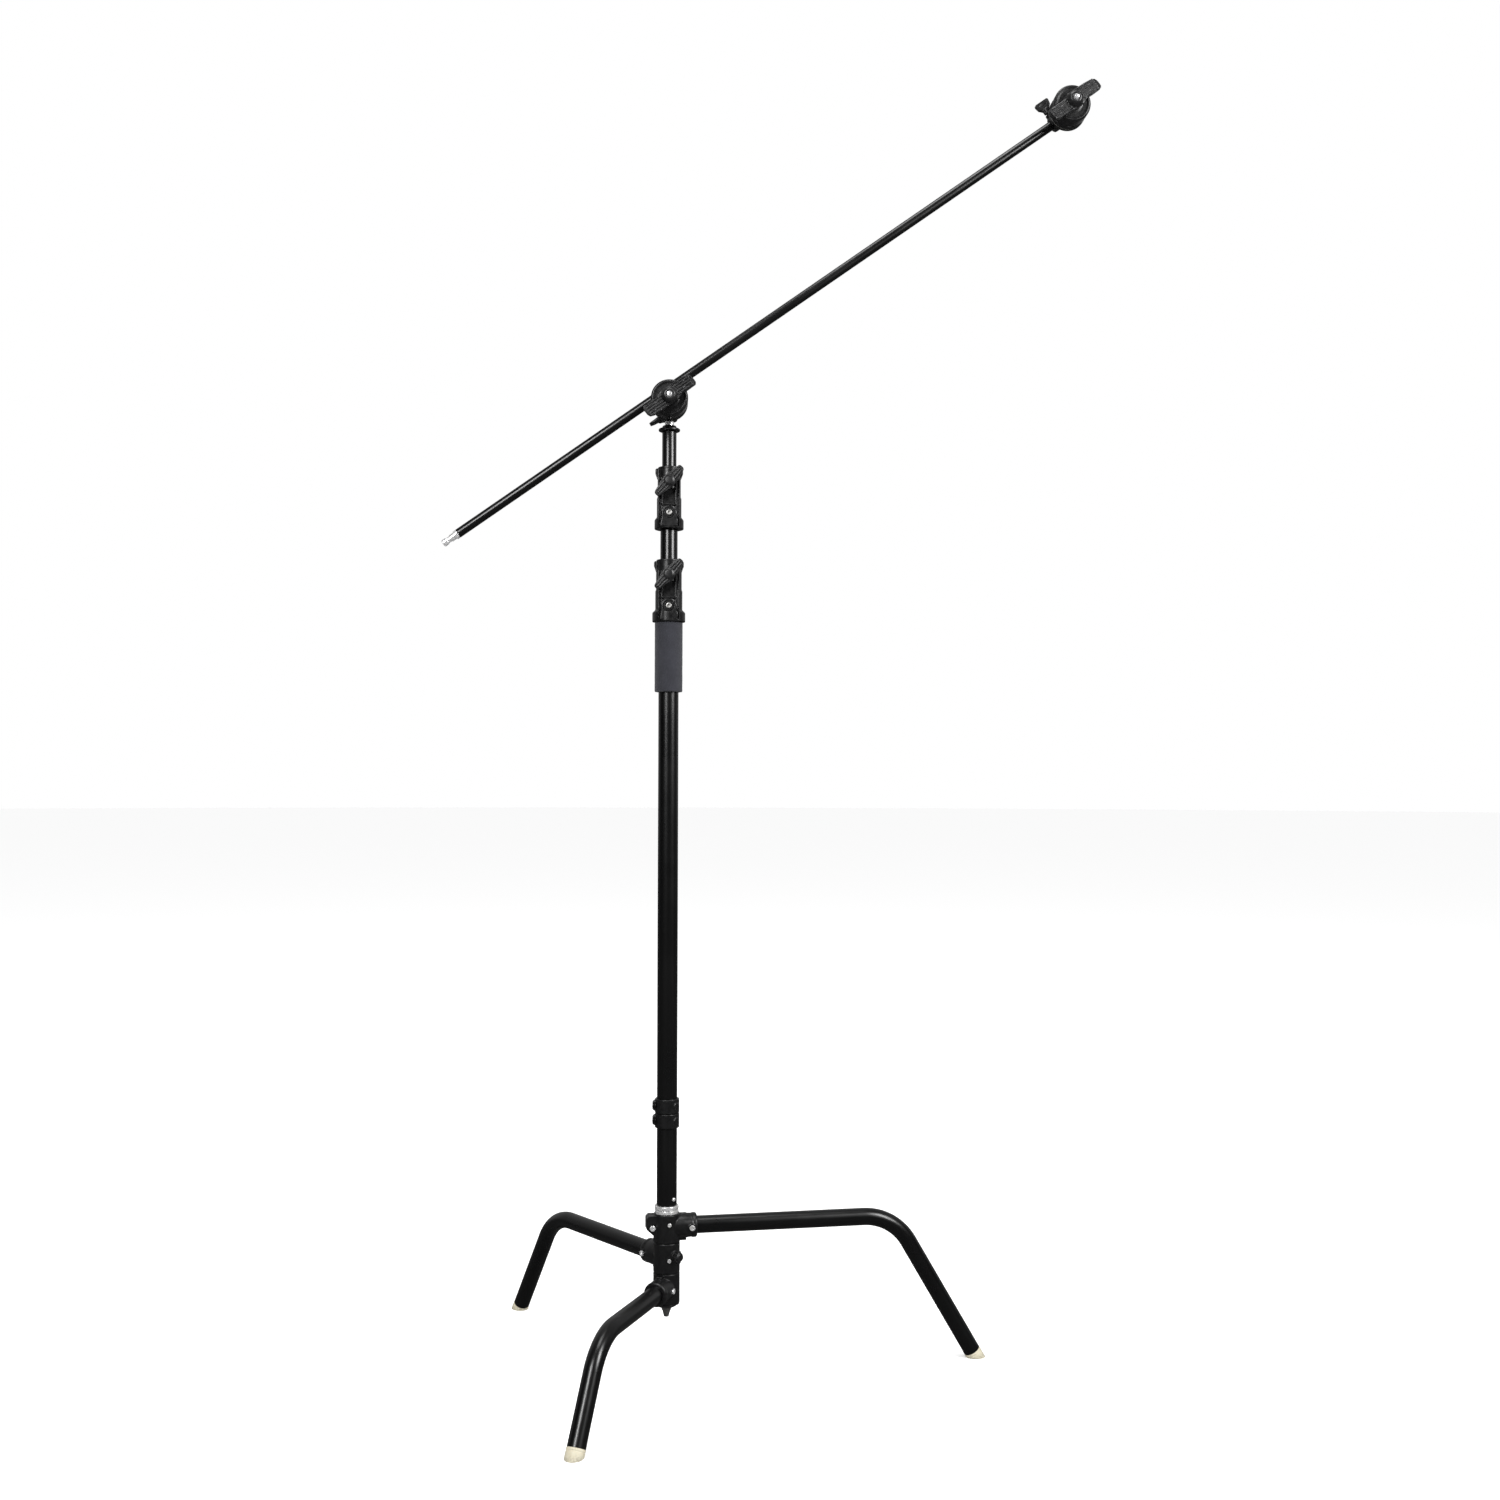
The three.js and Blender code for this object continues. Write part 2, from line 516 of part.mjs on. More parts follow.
// ---- grip heads ----
// Each head is built round its own bolt: the receiver bore along Z, the bolt along -Y through the origin.
const PLATE_BACK = 11.7;
const PLATE_FRONT = 19.7;
const DISC_FRONT = 22;
const JAW_MEET = -ARM_Y;
const JAW_FRONT = 58;
const WASHER_FRONT = 60.3;
const HANDLE_BACK = 60.6;
const HANDLE_FRONT = 84;
const BOLT_END = 87;
const BOLT_R = 4.7;
const BOLT_BORE = 5.1;
const WING_Z = -21;
const HALF_INCH_R = 6.6;
const TOWARDS_FRONT = [0, -1, 0];

function plate(radius, back, front, chamfer) {
  return along(turned([[0, back], [radius - chamfer, back], [radius, back + chamfer],
    [radius, front - chamfer], [radius - chamfer, front], [0, front]], ROUND), TOWARDS_FRONT);
}

function headReceiver(wingAxis) {
  const body = turned([[0, -29], [12, -29], [14, -27], [14, 12], [11, 17], [0, 17]], ROUND);
  const wingBoss = along(rod(7.2, 8, 19, SMALL), wingAxis, [0, 0, WING_Z]);
  const neck = block(-14, 14, -14, 0, -22, 14);
  const bore = rod((STUD_R + GAP) / Math.cos(Math.PI / SMALL), -35, 10, SMALL);
  return cut(join(body, wingBoss, neck, plate(PLATE_R, PLATE_BACK, PLATE_FRONT, 1.2)), bore,
    along(rod(8.8, 12.5, 25, SMALL), TOWARDS_FRONT),
    along(rod(3.3 + GAP, 4, 25, TINY), wingAxis, [0, 0, WING_Z]));
}

function wingScrew(wingAxis) {
  const shank = turned([[0, 8.6], [3.3, 8.6], [3.3, 21], [6.5, 21], [6.5, 29], [5, 31], [0, 31]], SMALL);
  const paddle = upright(slab([[-6, 27], [6, 27], [12, 33], [13.5, 42], [11, 44.5], [-11, 44.5], [-13.5, 42],
    [-12, 33]], -3.2, 3.2));
  return along(join(shank, paddle), wingAxis, [0, 0, WING_Z]);
}

// A jaw plate with a half-round groove on its meeting face for each of the two tube sizes.
function jaw(back, front) {
  const full = rod((STUD_R + GAP) / Math.cos(Math.PI / SMALL), -50, 50, SMALL);
  const half = rod(HALF_INCH_R, -50, 50, SMALL);
  return cut(plate(PLATE_R, back, front, 1.2), along(rod(BOLT_BORE, 0, 60, SMALL), TOWARDS_FRONT),
    along(full, [1, 0, 0], [0, -JAW_MEET, ARM_OFFSET]), along(half, [1, 0, 0], [0, -JAW_MEET, -ARM_OFFSET]));
}

function headBolt() {
  return along(turned([[0, 12.8], [8.4, 12.8], [8.4, 18.6], [BOLT_R, 18.6], [BOLT_R, BOLT_END - 1.5],
    [BOLT_R - 1.5, BOLT_END], [0, BOLT_END]], SMALL), TOWARDS_FRONT);
}

// Each arm leans to one side of the boss; the other arm is the same, turned half a turn.
function headHandle() {
  const half = [[50, -7], [49.6, 5], [47, 10], [40, 12.6], [28, 14.2], [-12, 14.4], [-20, 9.4], [-32, 9.6],
    [-48, 9.4]];
  const outline = [...half, ...half.map(([x, z]) => [-x, -z])];
  const arms = upright(slab(outline, 64, 76));
  const boss = along(turned([[0, HANDLE_BACK], [13, HANDLE_BACK], [14.5, 63], [14.5, 76], [11, HANDLE_FRONT],
    [0, HANDLE_FRONT]], ROUND), TOWARDS_FRONT);
  return cut(join(arms, boss), along(rod(BOLT_BORE, 40, 95, SMALL), TOWARDS_FRONT));
}

function buildHead(number, wingAzimuth, jawTurn, handleTurn) {
  const prefix = `head_${number}`;
  const wingAxis = [Math.cos(wingAzimuth), Math.sin(wingAzimuth), 0];
  const hole = along(rod(BOLT_BORE, 0, BOLT_END, SMALL), TOWARDS_FRONT);
  const jaws = group(
    named(`${prefix}_inner_jaw`, jaw(DISC_FRONT + GAP, JAW_MEET - GAP), casting()),
    named(`${prefix}_outer_jaw`, jaw(JAW_MEET + GAP, JAW_FRONT), casting()));
  jaws.rotation.y = jawTurn;
  const handle = named(`${prefix}_handle`, headHandle(), plastic());
  handle.rotation.y = handleTurn;
  return group(
    named(`${prefix}_receiver`, headReceiver(wingAxis), casting()),
    named(`${prefix}_wing_screw`, wingScrew(wingAxis), plastic()),
    named(`${prefix}_bolt`, headBolt(), silver()),
    named(`${prefix}_friction_disc`, cut(plate(PLATE_R - 1, PLATE_FRONT + GAP, DISC_FRONT, 0.3), hole), fibre()),
    jaws,
    named(`${prefix}_washer`, cut(plate(9.5, JAW_FRONT + GAP, WASHER_FRONT, 0.4), hole), dullSteel()),
    handle);
}

// ---- grip arm ----
// Built along +X from the point where it passes closest to the bolt of head 1.
function buildArm() {
  const inner = (STUD_R - TUBE_WALL) * Math.cos(Math.PI / SMALL) - GAP;
  const tube = along(sleeve(STUD_R - TUBE_WALL, [[STUD_R, ARM_LOW_END], [STUD_R, ARM_HEAD_2 + 7]], SMALL), [1, 0, 0]);
  const end = ARM_LOW_END - GAP;
  const stud = turned([[0, end - 30.5], [5.3, end - 30.5], [6.3, end - 29.5], [6.3, end - 22], [4.9, end - 21],
    [4.9, end - 15], [6.3, end - 14], [6.3, end - 6], [STUD_R, end - 5.5], [STUD_R, end], [inner, end],
    [inner, end + 26], [0, end + 26]], SMALL);
  return group(named('arm_tube', tube, black()), named('arm_stud', along(stud, [1, 0, 0]), silver()));
}

// ---- assembly ----
function buildHeadsAndArm() {
  const upSlope = [-Math.sin(ARM_SLOPE), Math.cos(ARM_SLOPE)];
  const arm = buildArm();
  arm.position.set(ARM_OFFSET * upSlope[0], ARM_Y, BOLT_Z + ARM_OFFSET * upSlope[1]);
  arm.rotation.y = -ARM_SLOPE;

  const head1 = buildHead(1, 127 * DEG, -ARM_SLOPE, -ARM_SLOPE);
  head1.position.z = BOLT_Z;

  const toArm = Math.PI / 2 - ARM_SLOPE;
  const head2 = buildHead(2, Math.PI, -toArm, -Math.PI / 2);
  head2.rotation.y = toArm;
  head2.position.copy(arm.position).add(new THREE.Vector3(
    ARM_HEAD_2 * Math.cos(ARM_SLOPE), 0, ARM_HEAD_2 * Math.sin(ARM_SLOPE)));
  return group(head1, arm, head2);
}

const stand = group(
  buildPost(), buildRightLeg(), buildBackLeg(), buildFrontLeg(),
  buildColumnTubes(),
  buildLock('lower', LOWER_LOCK_Z, MAIN_R, MIDDLE_R, 23.6, 28.7, 26),
  buildLock('upper', UPPER_LOCK_Z, MIDDLE_R, TOP_R, 21.4, 25.4, 24.2),
  buildRisers(), buildHeadsAndArm());

stand.updateMatrixWorld(true);
const bounds = new THREE.Box3().setFromObject(stand, true);
const centre = bounds.getCenter(new THREE.Vector3());
stand.position.set(-centre.x, -centre.y, 0);

export default stand;
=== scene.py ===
# Century stand: the visible pieces, their materials, the camera and the studio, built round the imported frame.
import math

import bmesh
import bpy
from mathutils import Matrix, Vector, noise


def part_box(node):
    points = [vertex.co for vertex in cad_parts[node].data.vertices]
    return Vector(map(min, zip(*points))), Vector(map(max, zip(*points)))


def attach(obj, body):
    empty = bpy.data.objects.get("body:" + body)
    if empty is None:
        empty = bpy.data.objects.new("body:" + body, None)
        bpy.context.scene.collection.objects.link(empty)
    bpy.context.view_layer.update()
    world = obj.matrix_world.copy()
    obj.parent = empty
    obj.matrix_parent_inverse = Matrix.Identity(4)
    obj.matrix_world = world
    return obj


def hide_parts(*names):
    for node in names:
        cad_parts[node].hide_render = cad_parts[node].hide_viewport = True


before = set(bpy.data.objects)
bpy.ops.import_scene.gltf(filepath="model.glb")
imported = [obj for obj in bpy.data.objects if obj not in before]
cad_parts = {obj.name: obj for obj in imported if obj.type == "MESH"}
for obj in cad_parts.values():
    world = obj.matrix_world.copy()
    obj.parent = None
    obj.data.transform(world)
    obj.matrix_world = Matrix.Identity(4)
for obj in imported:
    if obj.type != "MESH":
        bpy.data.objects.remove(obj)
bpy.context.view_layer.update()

DEG = math.pi / 180
MM = 0.001


def middle(node):
    low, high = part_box(node)
    return [(low[i] + high[i]) / 2 for i in range(3)]


AXIS_X, AXIS_Y, _ = middle("main_tube")
STAND = Matrix.Translation((AXIS_X, AXIS_Y, 0)) @ Matrix.Scale(MM, 4)

# ---- driving dimensions, in millimetres round the column axis ----
LEG_R, LEG_WALL, LEG_SLANT, LEG_BEND = 15.0, 2.0, 30.5 * DEG, 95.0
LEG_AZIMUTH = {"right": 7.4 * DEG, "back": 127.4 * DEG, "front": -112.6 * DEG}
LEG_HEIGHT = {"right": 258.6, "back": 205.9, "front": 154.1}
LEG_REACH = {"right": 558.0, "back": 470.0, "front": 362.0}
LEG_START, FOOT_LENGTH = 22.3, 14.0
POST_R, RING_R, SOCKET_R, SOCKET_END = 18.0, 23.0, 21.0, 52.0
HUB_BOTTOM, HUB_FLANGE, SPLIT_LOW, SPLIT_HIGH, HUB_TOP = 121.0, 6.0, 180.0, 232.0, 281.0
MAIN_R, MIDDLE_R, TOP_R, TUBE_WALL = 17.5, 15.0, 12.5, 1.5
SILVER_RING_TOP, COUPLING_SPLIT, COUPLING_HALF = 295.0, 454.0, 25.0
FOAM_BOTTOM, FOAM_R = 1184.0, 24.25
LOWER_LOCK_Z, UPPER_LOCK_Z, LOCK_H, TUBE_INTO_LOCK = 1306.0, 1468.0, 108.5, 64.0
STAND_TOP, STUD_R, BOLT_Z = 1652.5, 7.94, 1686.5
ARM_SLOPE, ARM_OFFSET, ARM_Y = 35.3 * DEG, 17.6, -34.0
ARM_LOW_END, ARM_HEAD_2, PLATE_R = -430.5, 859.5, 32.0
GAP = 0.3


# ---- mesh helpers ----
def turn_about(axis, angle):
    return Matrix.Rotation(angle, 4, axis)


def pointing(direction, place=(0, 0, 0)):
    """The matrix that points +Z along a direction, from a place."""
    turn = Vector((0, 0, 1)).rotation_difference(Vector(direction)).to_matrix().to_4x4()
    return Matrix.Translation(place) @ turn


def rounded(points, radius, steps=3):
    """The profile with each inner corner turned into an arc of at most that radius."""
    result = [points[0]]
    for before, corner, after in zip(points, points[1:], points[2:]):
        a, b, c = Vector(before), Vector(corner), Vector(after)
        reach = min(radius, (a - b).length * 0.45, (c - b).length * 0.45)
        start, end = b + (a - b).normalized() * reach, b + (c - b).normalized() * reach
        for i in range(steps + 1):
            t = i / steps
            result.append(tuple(start * (1 - t) ** 2 + b * 2 * t * (1 - t) + end * t ** 2))
    result.append(points[-1])
    return result


def turned(points, radius=0.6, sides=64, closed=False, steps=3):
    """A bmesh of revolution about Z. The profile starts and ends on the axis, or closes on itself."""
    if closed:
        first = tuple((Vector(points[0]) + Vector(points[-1])) / 2)
        points = rounded([first] + list(points) + [first], radius, steps)[:-1]
    else:
        points = rounded(points, radius, steps)
    bm = bmesh.new()
    rings = []
    for r, z in points:
        if r < 1e-6:
            rings.append([bm.verts.new((0, 0, z))])
            continue
        rings.append([bm.verts.new((r * math.cos(2 * math.pi * i / sides),
                                    r * math.sin(2 * math.pi * i / sides), z))
                      for i in range(sides)])
    pairs = list(zip(rings, rings[1:]))
    if closed:
        pairs.append((rings[-1], rings[0]))
    for low, high in pairs:
        for i in range(sides):
            j = (i + 1) % sides
            corners = [low[i % len(low)], low[j % len(low)], high[j % len(high)], high[i % len(high)]]
            unique = list(dict.fromkeys(corners))
            if len(unique) > 2:
                bm.faces.new(unique)
    bmesh.ops.recalc_face_normals(bm, faces=bm.faces)
    return bm


def sleeve(bore, outside, radius=0.5, sides=64):
    """A hollow round part: the bore radius, then the outside points from the bottom up."""
    low, high = outside[0][1], outside[-1][1]
    return turned([(bore, low)] + list(outside) + [(bore, high)], radius, sides, closed=True)


def rod(r, low, high, radius=0.5, sides=48):
    return turned([(0, low), (r, low), (r, high), (0, high)], radius, sides)


def block(x0, x1, y0, y1, z0, z1):
    bm = bmesh.new()
    bmesh.ops.create_cube(bm, size=1)
    scale = Matrix.Diagonal((x1 - x0, y1 - y0, z1 - z0, 1))
    bmesh.ops.transform(bm, matrix=Matrix.Translation(((x0 + x1) / 2, (y0 + y1) / 2, (z0 + z1) / 2)) @ scale,
                        verts=bm.verts)
    return bm


def slab(outline, low, high):
    """A flat outline of (a, b) points, extruded along Z."""
    bm = bmesh.new()
    face = bm.faces.new([bm.verts.new((a, b, low)) for a, b in outline])
    out = bmesh.ops.extrude_face_region(bm, geom=[face])
    moved = [v for v in out["geom"] if isinstance(v, bmesh.types.BMVert)]
    bmesh.ops.translate(bm, vec=(0, 0, high - low), verts=moved)
    bmesh.ops.recalc_face_normals(bm, faces=bm.faces)
    return bm


def put(bm, matrix):
    bmesh.ops.transform(bm, matrix=matrix, verts=bm.verts)
    return bm


def upright(bm):
    """Stands an outline up in X and Z, with its thickness along -Y."""
    return put(bm, turn_about("X", math.pi / 2))


def outline_arc(cx, cy, r, start, end, steps):
    return [(cx + r * math.cos(start + (end - start) * i / steps),
             cy + r * math.sin(start + (end - start) * i / steps))
            for i in range(steps + 1)]


def to_object(bm, name):
    mesh = bpy.data.meshes.new(name)
    bm.to_mesh(mesh)
    bm.free()
    obj = bpy.data.objects.new(name, mesh)
    bpy.context.scene.collection.objects.link(obj)
    return obj


def applied(obj):
    """The object's mesh with its modifiers applied, as a bmesh. The object is removed."""
    depsgraph = bpy.context.evaluated_depsgraph_get()
    bm = bmesh.new()
    bm.from_object(obj, depsgraph)
    mesh = obj.data
    bpy.data.objects.remove(obj)
    bpy.data.meshes.remove(mesh)
    return bm


def boolean(bm, tools, operation):
    base = to_object(bm, "base")
    helpers = []
    for tool in tools:
        helper = to_object(tool, "tool")
        modifier = base.modifiers.new("boolean", "BOOLEAN")
        modifier.operation, modifier.object, modifier.solver = operation, helper, "MANIFOLD"
        helpers.append(helper)
    result = applied(base)
    for helper in helpers:
        mesh = helper.data
        bpy.data.objects.remove(helper)
        bpy.data.meshes.remove(mesh)
    return result


def join(bm, *others):
    return boolean(bm, others, "UNION")


def cut(bm, *tools):
    return boolean(bm, tools, "DIFFERENCE")


def cast(bm, voxel, rounds=2):
    """Turns a sharp solid into a cast one: every edge and inner corner gets a small even radius."""
    obj = to_object(bm, "cast")
    modifier = obj.modifiers.new("remesh", "REMESH")
    modifier.mode, modifier.voxel_size, modifier.adaptivity = "VOXEL", voxel, 0
    result = applied(obj)
    for _ in range(rounds):
        bmesh.ops.smooth_vert(result, verts=result.verts, factor=0.5, use_axis_x=True, use_axis_y=True,
                              use_axis_z=True)
    return result


def bevelled(bm, width, segments=3, angle=30):
    obj = to_object(bm, "bevel")
    modifier = obj.modifiers.new("bevel", "BEVEL")
    modifier.width, modifier.segments, modifier.limit_method = width, segments, "ANGLE"
    modifier.angle_limit, modifier.use_clamp_overlap = angle * DEG, True
    return applied(obj)


def piece(name, bm, matrix, material, body, node=None, sharp=35):
    """Places a bmesh as a piece that rides on a body and stands for the CAD node of the same name."""
    node = node or name
    bmesh.ops.transform(bm, matrix=matrix, verts=bm.verts)
    obj = to_object(bm, name + "_fine")
    obj.data.shade_smooth()
    obj.data.set_sharp_from_angle(angle=sharp * DEG)
    obj.data.materials.append(material)
    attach(obj, body)
    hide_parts(node)
    return obj


# ---- materials ----
class Nodes:
    """A material's node tree, with its texture coordinates in metres on the piece itself."""

    def __init__(self, name):
        self.material = bpy.data.materials.new(name)
        self.material.use_nodes = True
        self.tree = self.material.node_tree
        self.shader = self.tree.nodes["Principled BSDF"]
        self.coordinates = self.tree.nodes.new("ShaderNodeTexCoord").outputs["Object"]

    def link(self, output, target):
        self.tree.links.new(output, target)

    def stretched(self, scale):
        node = self.tree.nodes.new("ShaderNodeMapping")
        node.inputs["Scale"].default_value = scale
        self.link(self.coordinates, node.inputs["Vector"])
        return node.outputs["Vector"]

    def noise(self, scale, detail=3.0, roughness=0.55, vector=None):
        node = self.tree.nodes.new("ShaderNodeTexNoise")
        node.inputs["Scale"].default_value = scale
        node.inputs["Detail"].default_value = detail
        node.inputs["Roughness"].default_value = roughness
        self.link(vector or self.coordinates, node.inputs["Vector"])
        return node.outputs["Fac"]

    def cells(self, scale):
        node = self.tree.nodes.new("ShaderNodeTexVoronoi")
        node.inputs["Scale"].default_value = scale
        self.link(self.coordinates, node.inputs["Vector"])
        return node.outputs["Distance"]

    def ramp(self, value, low, high, out_low, out_high):
        node = self.tree.nodes.new("ShaderNodeMapRange")
        node.inputs["From Min"].default_value = low
        node.inputs["From Max"].default_value = high
        node.inputs["To Min"].default_value = out_low
        node.inputs["To Max"].default_value = out_high
        self.link(value, node.inputs["Value"])
        return node.outputs["Result"]

    def mix(self, factor, first, second):
        node = self.tree.nodes.new("ShaderNodeMix")
        node.data_type = "RGBA"
        self.link(factor, node.inputs["Factor"])
        for socket, value in ((node.inputs[6], first), (node.inputs[7], second)):
            if isinstance(value, tuple):
                socket.default_value = (*value, 1)
            else:
                self.link(value, socket)
        return node.outputs[2]

    def multiply(self, first, second):
        node = self.tree.nodes.new("ShaderNodeMath")
        node.operation = "MULTIPLY"
        self.link(first, node.inputs[0])
        self.link(second, node.inputs[1])
        return node.outputs[0]

    def bump(self, height, distance, strength=1.0, below=None):
        node = self.tree.nodes.new("ShaderNodeBump")
        node.inputs["Distance"].default_value = distance
        node.inputs["Strength"].default_value = strength
        self.link(height, node.inputs["Height"])
        if below is not None:
            self.link(below, node.inputs["Normal"])
        return node.outputs["Normal"]

    def edges(self, low=0.52, high=0.6):
        """1 on convex edges, 0 elsewhere."""
        node = self.tree.nodes.new("ShaderNodeNewGeometry")
        return self.ramp(node.outputs["Pointiness"], low, high, 0, 1)


def black_paint():
    """Satin black enamel on drawn tube: faint orange peel, fine lengthwise rub marks, handling smudges."""
    m = Nodes("black_paint")
    smudges = m.noise(9, 4)
    rubs = m.noise(1, 2, vector=m.stretched((900, 900, 14)))
    m.link(m.mix(m.ramp(rubs, 0.62, 0.8, 0, 0.35), (0.0006, 0.0006, 0.0007), (0.004, 0.004, 0.0044)),
           m.shader.inputs["Base Color"])
    m.link(m.ramp(smudges, 0.3, 0.7, 0.24, 0.34), m.shader.inputs["Roughness"])
    m.link(m.bump(m.noise(1400, 2), 0.00003, 0.35), m.shader.inputs["Normal"])
    m.shader.inputs["Specular IOR Level"].default_value = 0.55
    return m.material


def black_casting():
    """Black powder coat over a sand casting: pebbled skin, paler on its edges, partly as rubbed wear and partly
    as a painted highlight.
    """
    m = Nodes("black_casting")
    pebble = m.noise(900, 4, 0.6)
    lumps = m.noise(160, 3)
    # pale convex edges: partly rubbed wear, partly a painted highlight
    edge_wear_and_highlight = m.multiply(m.edges(0.53, 0.62), m.ramp(m.noise(260, 4), 0.38, 0.6, 0.15, 1))
    base = m.mix(m.ramp(lumps, 0.3, 0.7, 0, 1), (0.0018, 0.0018, 0.002), (0.0032, 0.0032, 0.0035))
    m.link(m.mix(edge_wear_and_highlight, base, (0.14, 0.14, 0.143)), m.shader.inputs["Base Color"])
    m.link(m.ramp(lumps, 0.25, 0.75, 0.28, 0.42), m.shader.inputs["Roughness"])
    m.link(m.bump(pebble, 0.00012, 0.5, m.bump(lumps, 0.0003, 0.4)), m.shader.inputs["Normal"])
    m.shader.inputs["Specular IOR Level"].default_value = 0.5
    return m.material


def bright_steel():
    """Chrome plate with faint turning marks and fingerprints."""
    m = Nodes("bright_steel")
    lines = m.noise(1, 2, vector=m.stretched((40, 40, 2600)))
    prints = m.noise(60, 4)
    m.link(m.mix(m.ramp(prints, 0.35, 0.7, 0, 1), (0.86, 0.86, 0.87), (0.74, 0.735, 0.72)),
           m.shader.inputs["Base Color"])
    m.shader.inputs["Metallic"].default_value = 0.8
    m.link(m.ramp(prints, 0.3, 0.75, 0.2, 0.34), m.shader.inputs["Roughness"])
    m.link(m.bump(lines, 0.00002, 0.25), m.shader.inputs["Normal"])
    return m.material


def dull_steel():
    """Zinc-plated steel: grey, cloudy and a little stained."""
    m = Nodes("dull_steel")
    clouds = m.noise(220, 5, 0.65)
    m.link(m.mix(m.ramp(clouds, 0.3, 0.7, 0, 1), (0.34, 0.34, 0.33), (0.52, 0.51, 0.49)),
           m.shader.inputs["Base Color"])
    m.shader.inputs["Metallic"].default_value = 1
    m.link(m.ramp(clouds, 0.3, 0.7, 0.5, 0.34), m.shader.inputs["Roughness"])
    m.link(m.bump(m.noise(1800, 2), 0.00004, 0.3), m.shader.inputs["Normal"])
    return m.material


def black_plastic():
    """Moulded glass-filled nylon: fine spark texture, rubbed shiny on its edges and paler there, partly as
    rubbed wear and partly as a painted highlight.
    """
    m = Nodes("black_plastic")
    spark = m.cells(1600)
    patches = m.noise(70, 4)
    # pale convex edges: partly rubbed wear, partly a painted highlight
    edge_wear_and_highlight = m.multiply(m.edges(0.53, 0.62), m.ramp(m.noise(300, 3), 0.36, 0.6, 0.1, 0.9))
    base = m.mix(m.ramp(patches, 0.3, 0.7, 0, 1), (0.003, 0.003, 0.0033), (0.006, 0.006, 0.0063))
    m.link(m.mix(edge_wear_and_highlight, base, (0.1, 0.1, 0.103)), m.shader.inputs["Base Color"])
    m.link(m.ramp(patches, 0.3, 0.7, 0.32, 0.44), m.shader.inputs["Roughness"])
    m.link(m.bump(spark, 0.00006, 0.45), m.shader.inputs["Normal"])
    return m.material


def ivory_plastic():
    """Ivory polythene, slightly waxy, with grey scuffs towards the floor."""
    m = Nodes("ivory_plastic")
    place = m.tree.nodes.new("ShaderNodeSeparateXYZ")
    m.link(m.coordinates, place.inputs[0])
    low = m.ramp(place.outputs["Z"], 0.0, 0.012, 1, 0)
    scuff = m.multiply(low, m.ramp(m.noise(260, 5, 0.7), 0.42, 0.62, 0, 0.85))
    tone = m.mix(m.ramp(m.noise(90, 3), 0.3, 0.7, 0, 1), (0.35, 0.32, 0.235), (0.41, 0.38, 0.29))
    m.link(m.mix(scuff, tone, (0.17, 0.16, 0.13)), m.shader.inputs["Base Color"])
    m.link(m.ramp(m.noise(150, 3), 0.3, 0.7, 0.42, 0.6), m.shader.inputs["Roughness"])
    m.shader.inputs["Subsurface Weight"].default_value = 0.08
    m.shader.inputs["Subsurface Radius"].default_value = (0.004, 0.003, 0.002)
    m.link(m.bump(m.noise(700, 3), 0.0001, 0.35), m.shader.inputs["Normal"])
    return m.material


def grip_foam():
    """Closed-cell foam: open pores darkened with painted shade, a soft nap and a faint cloudiness."""
    m = Nodes("grip_foam")
    pores = m.cells(1500)
    nap = m.noise(2600, 2)
    clouds = m.noise(60, 4)
    tone = m.mix(m.ramp(clouds, 0.3, 0.7, 0, 1), (0.0062, 0.0066, 0.0115), (0.01, 0.0105, 0.0165))
    # the pore centres are darkened: painted shade in the pore hollows
    m.link(m.mix(m.ramp(pores, 0.0, 0.35, 0.55, 0), tone, (0.005, 0.005, 0.008)),
           m.shader.inputs["Base Color"])
    m.shader.inputs["Roughness"].default_value = 0.92
    m.shader.inputs["Sheen Weight"].default_value = 0.08
    m.shader.inputs["Sheen Roughness"].default_value = 0.6
    m.link(m.bump(pores, 0.0002, 0.6, m.bump(nap, 0.0001, 0.5)), m.shader.inputs["Normal"])
    return m.material


def fibre():
    """Pressed friction fibre with pale flecks."""
    m = Nodes("fibre")
    flecks = m.ramp(m.noise(1300, 4, 0.7), 0.56, 0.68, 0, 1)
    m.link(m.mix(flecks, (0.07, 0.068, 0.062), (0.17, 0.165, 0.15)), m.shader.inputs["Base Color"])
    m.shader.inputs["Roughness"].default_value = 0.85
    m.link(m.bump(m.noise(1500, 3), 0.0001, 0.5), m.shader.inputs["Normal"])
    return m.material


PAINT, CASTING, BRIGHT, DULL = black_paint(), black_casting(), bright_steel(), dull_steel()
PLASTIC, IVORY, FOAM, FIBRE = black_plastic(), ivory_plastic(), grip_foam(), fibre()


# ---- legs and hub ----
def leg_frame(side):
    return STAND @ turn_about("Z", LEG_AZIMUTH[side])


def leg_line(side, start, cut_back, steps=28):
    """Points and headings of a leg's centre line in its own X-Z plane."""
    height, reach = LEG_HEIGHT[side], LEG_REACH[side]
    turn = math.pi / 2 - LEG_SLANT
    tangent = LEG_BEND * math.tan(turn / 2)
    knee = reach - height * math.tan(LEG_SLANT)
    line = [(start, height, 0.0)]
    for i in range(steps + 1):
        angle = turn * i / steps
        line.append((knee - tangent + LEG_BEND * math.sin(angle), height - LEG_BEND * (1 - math.cos(angle)),
                     angle))
    line.append((reach - cut_back * math.sin(LEG_SLANT), cut_back * math.cos(LEG_SLANT), turn))
    return line


def ring_at(bm, x, z, heading, r, sides):
    side = Vector((math.sin(heading), 0, math.cos(heading)))
    across = Vector((0, 1, 0))
    centre = Vector((x, 0, z))
    return [bm.verts.new(centre + side * (r * math.cos(2 * math.pi * i / sides))
                         + across * (r * math.sin(2 * math.pi * i / sides))) for i in range(sides)]


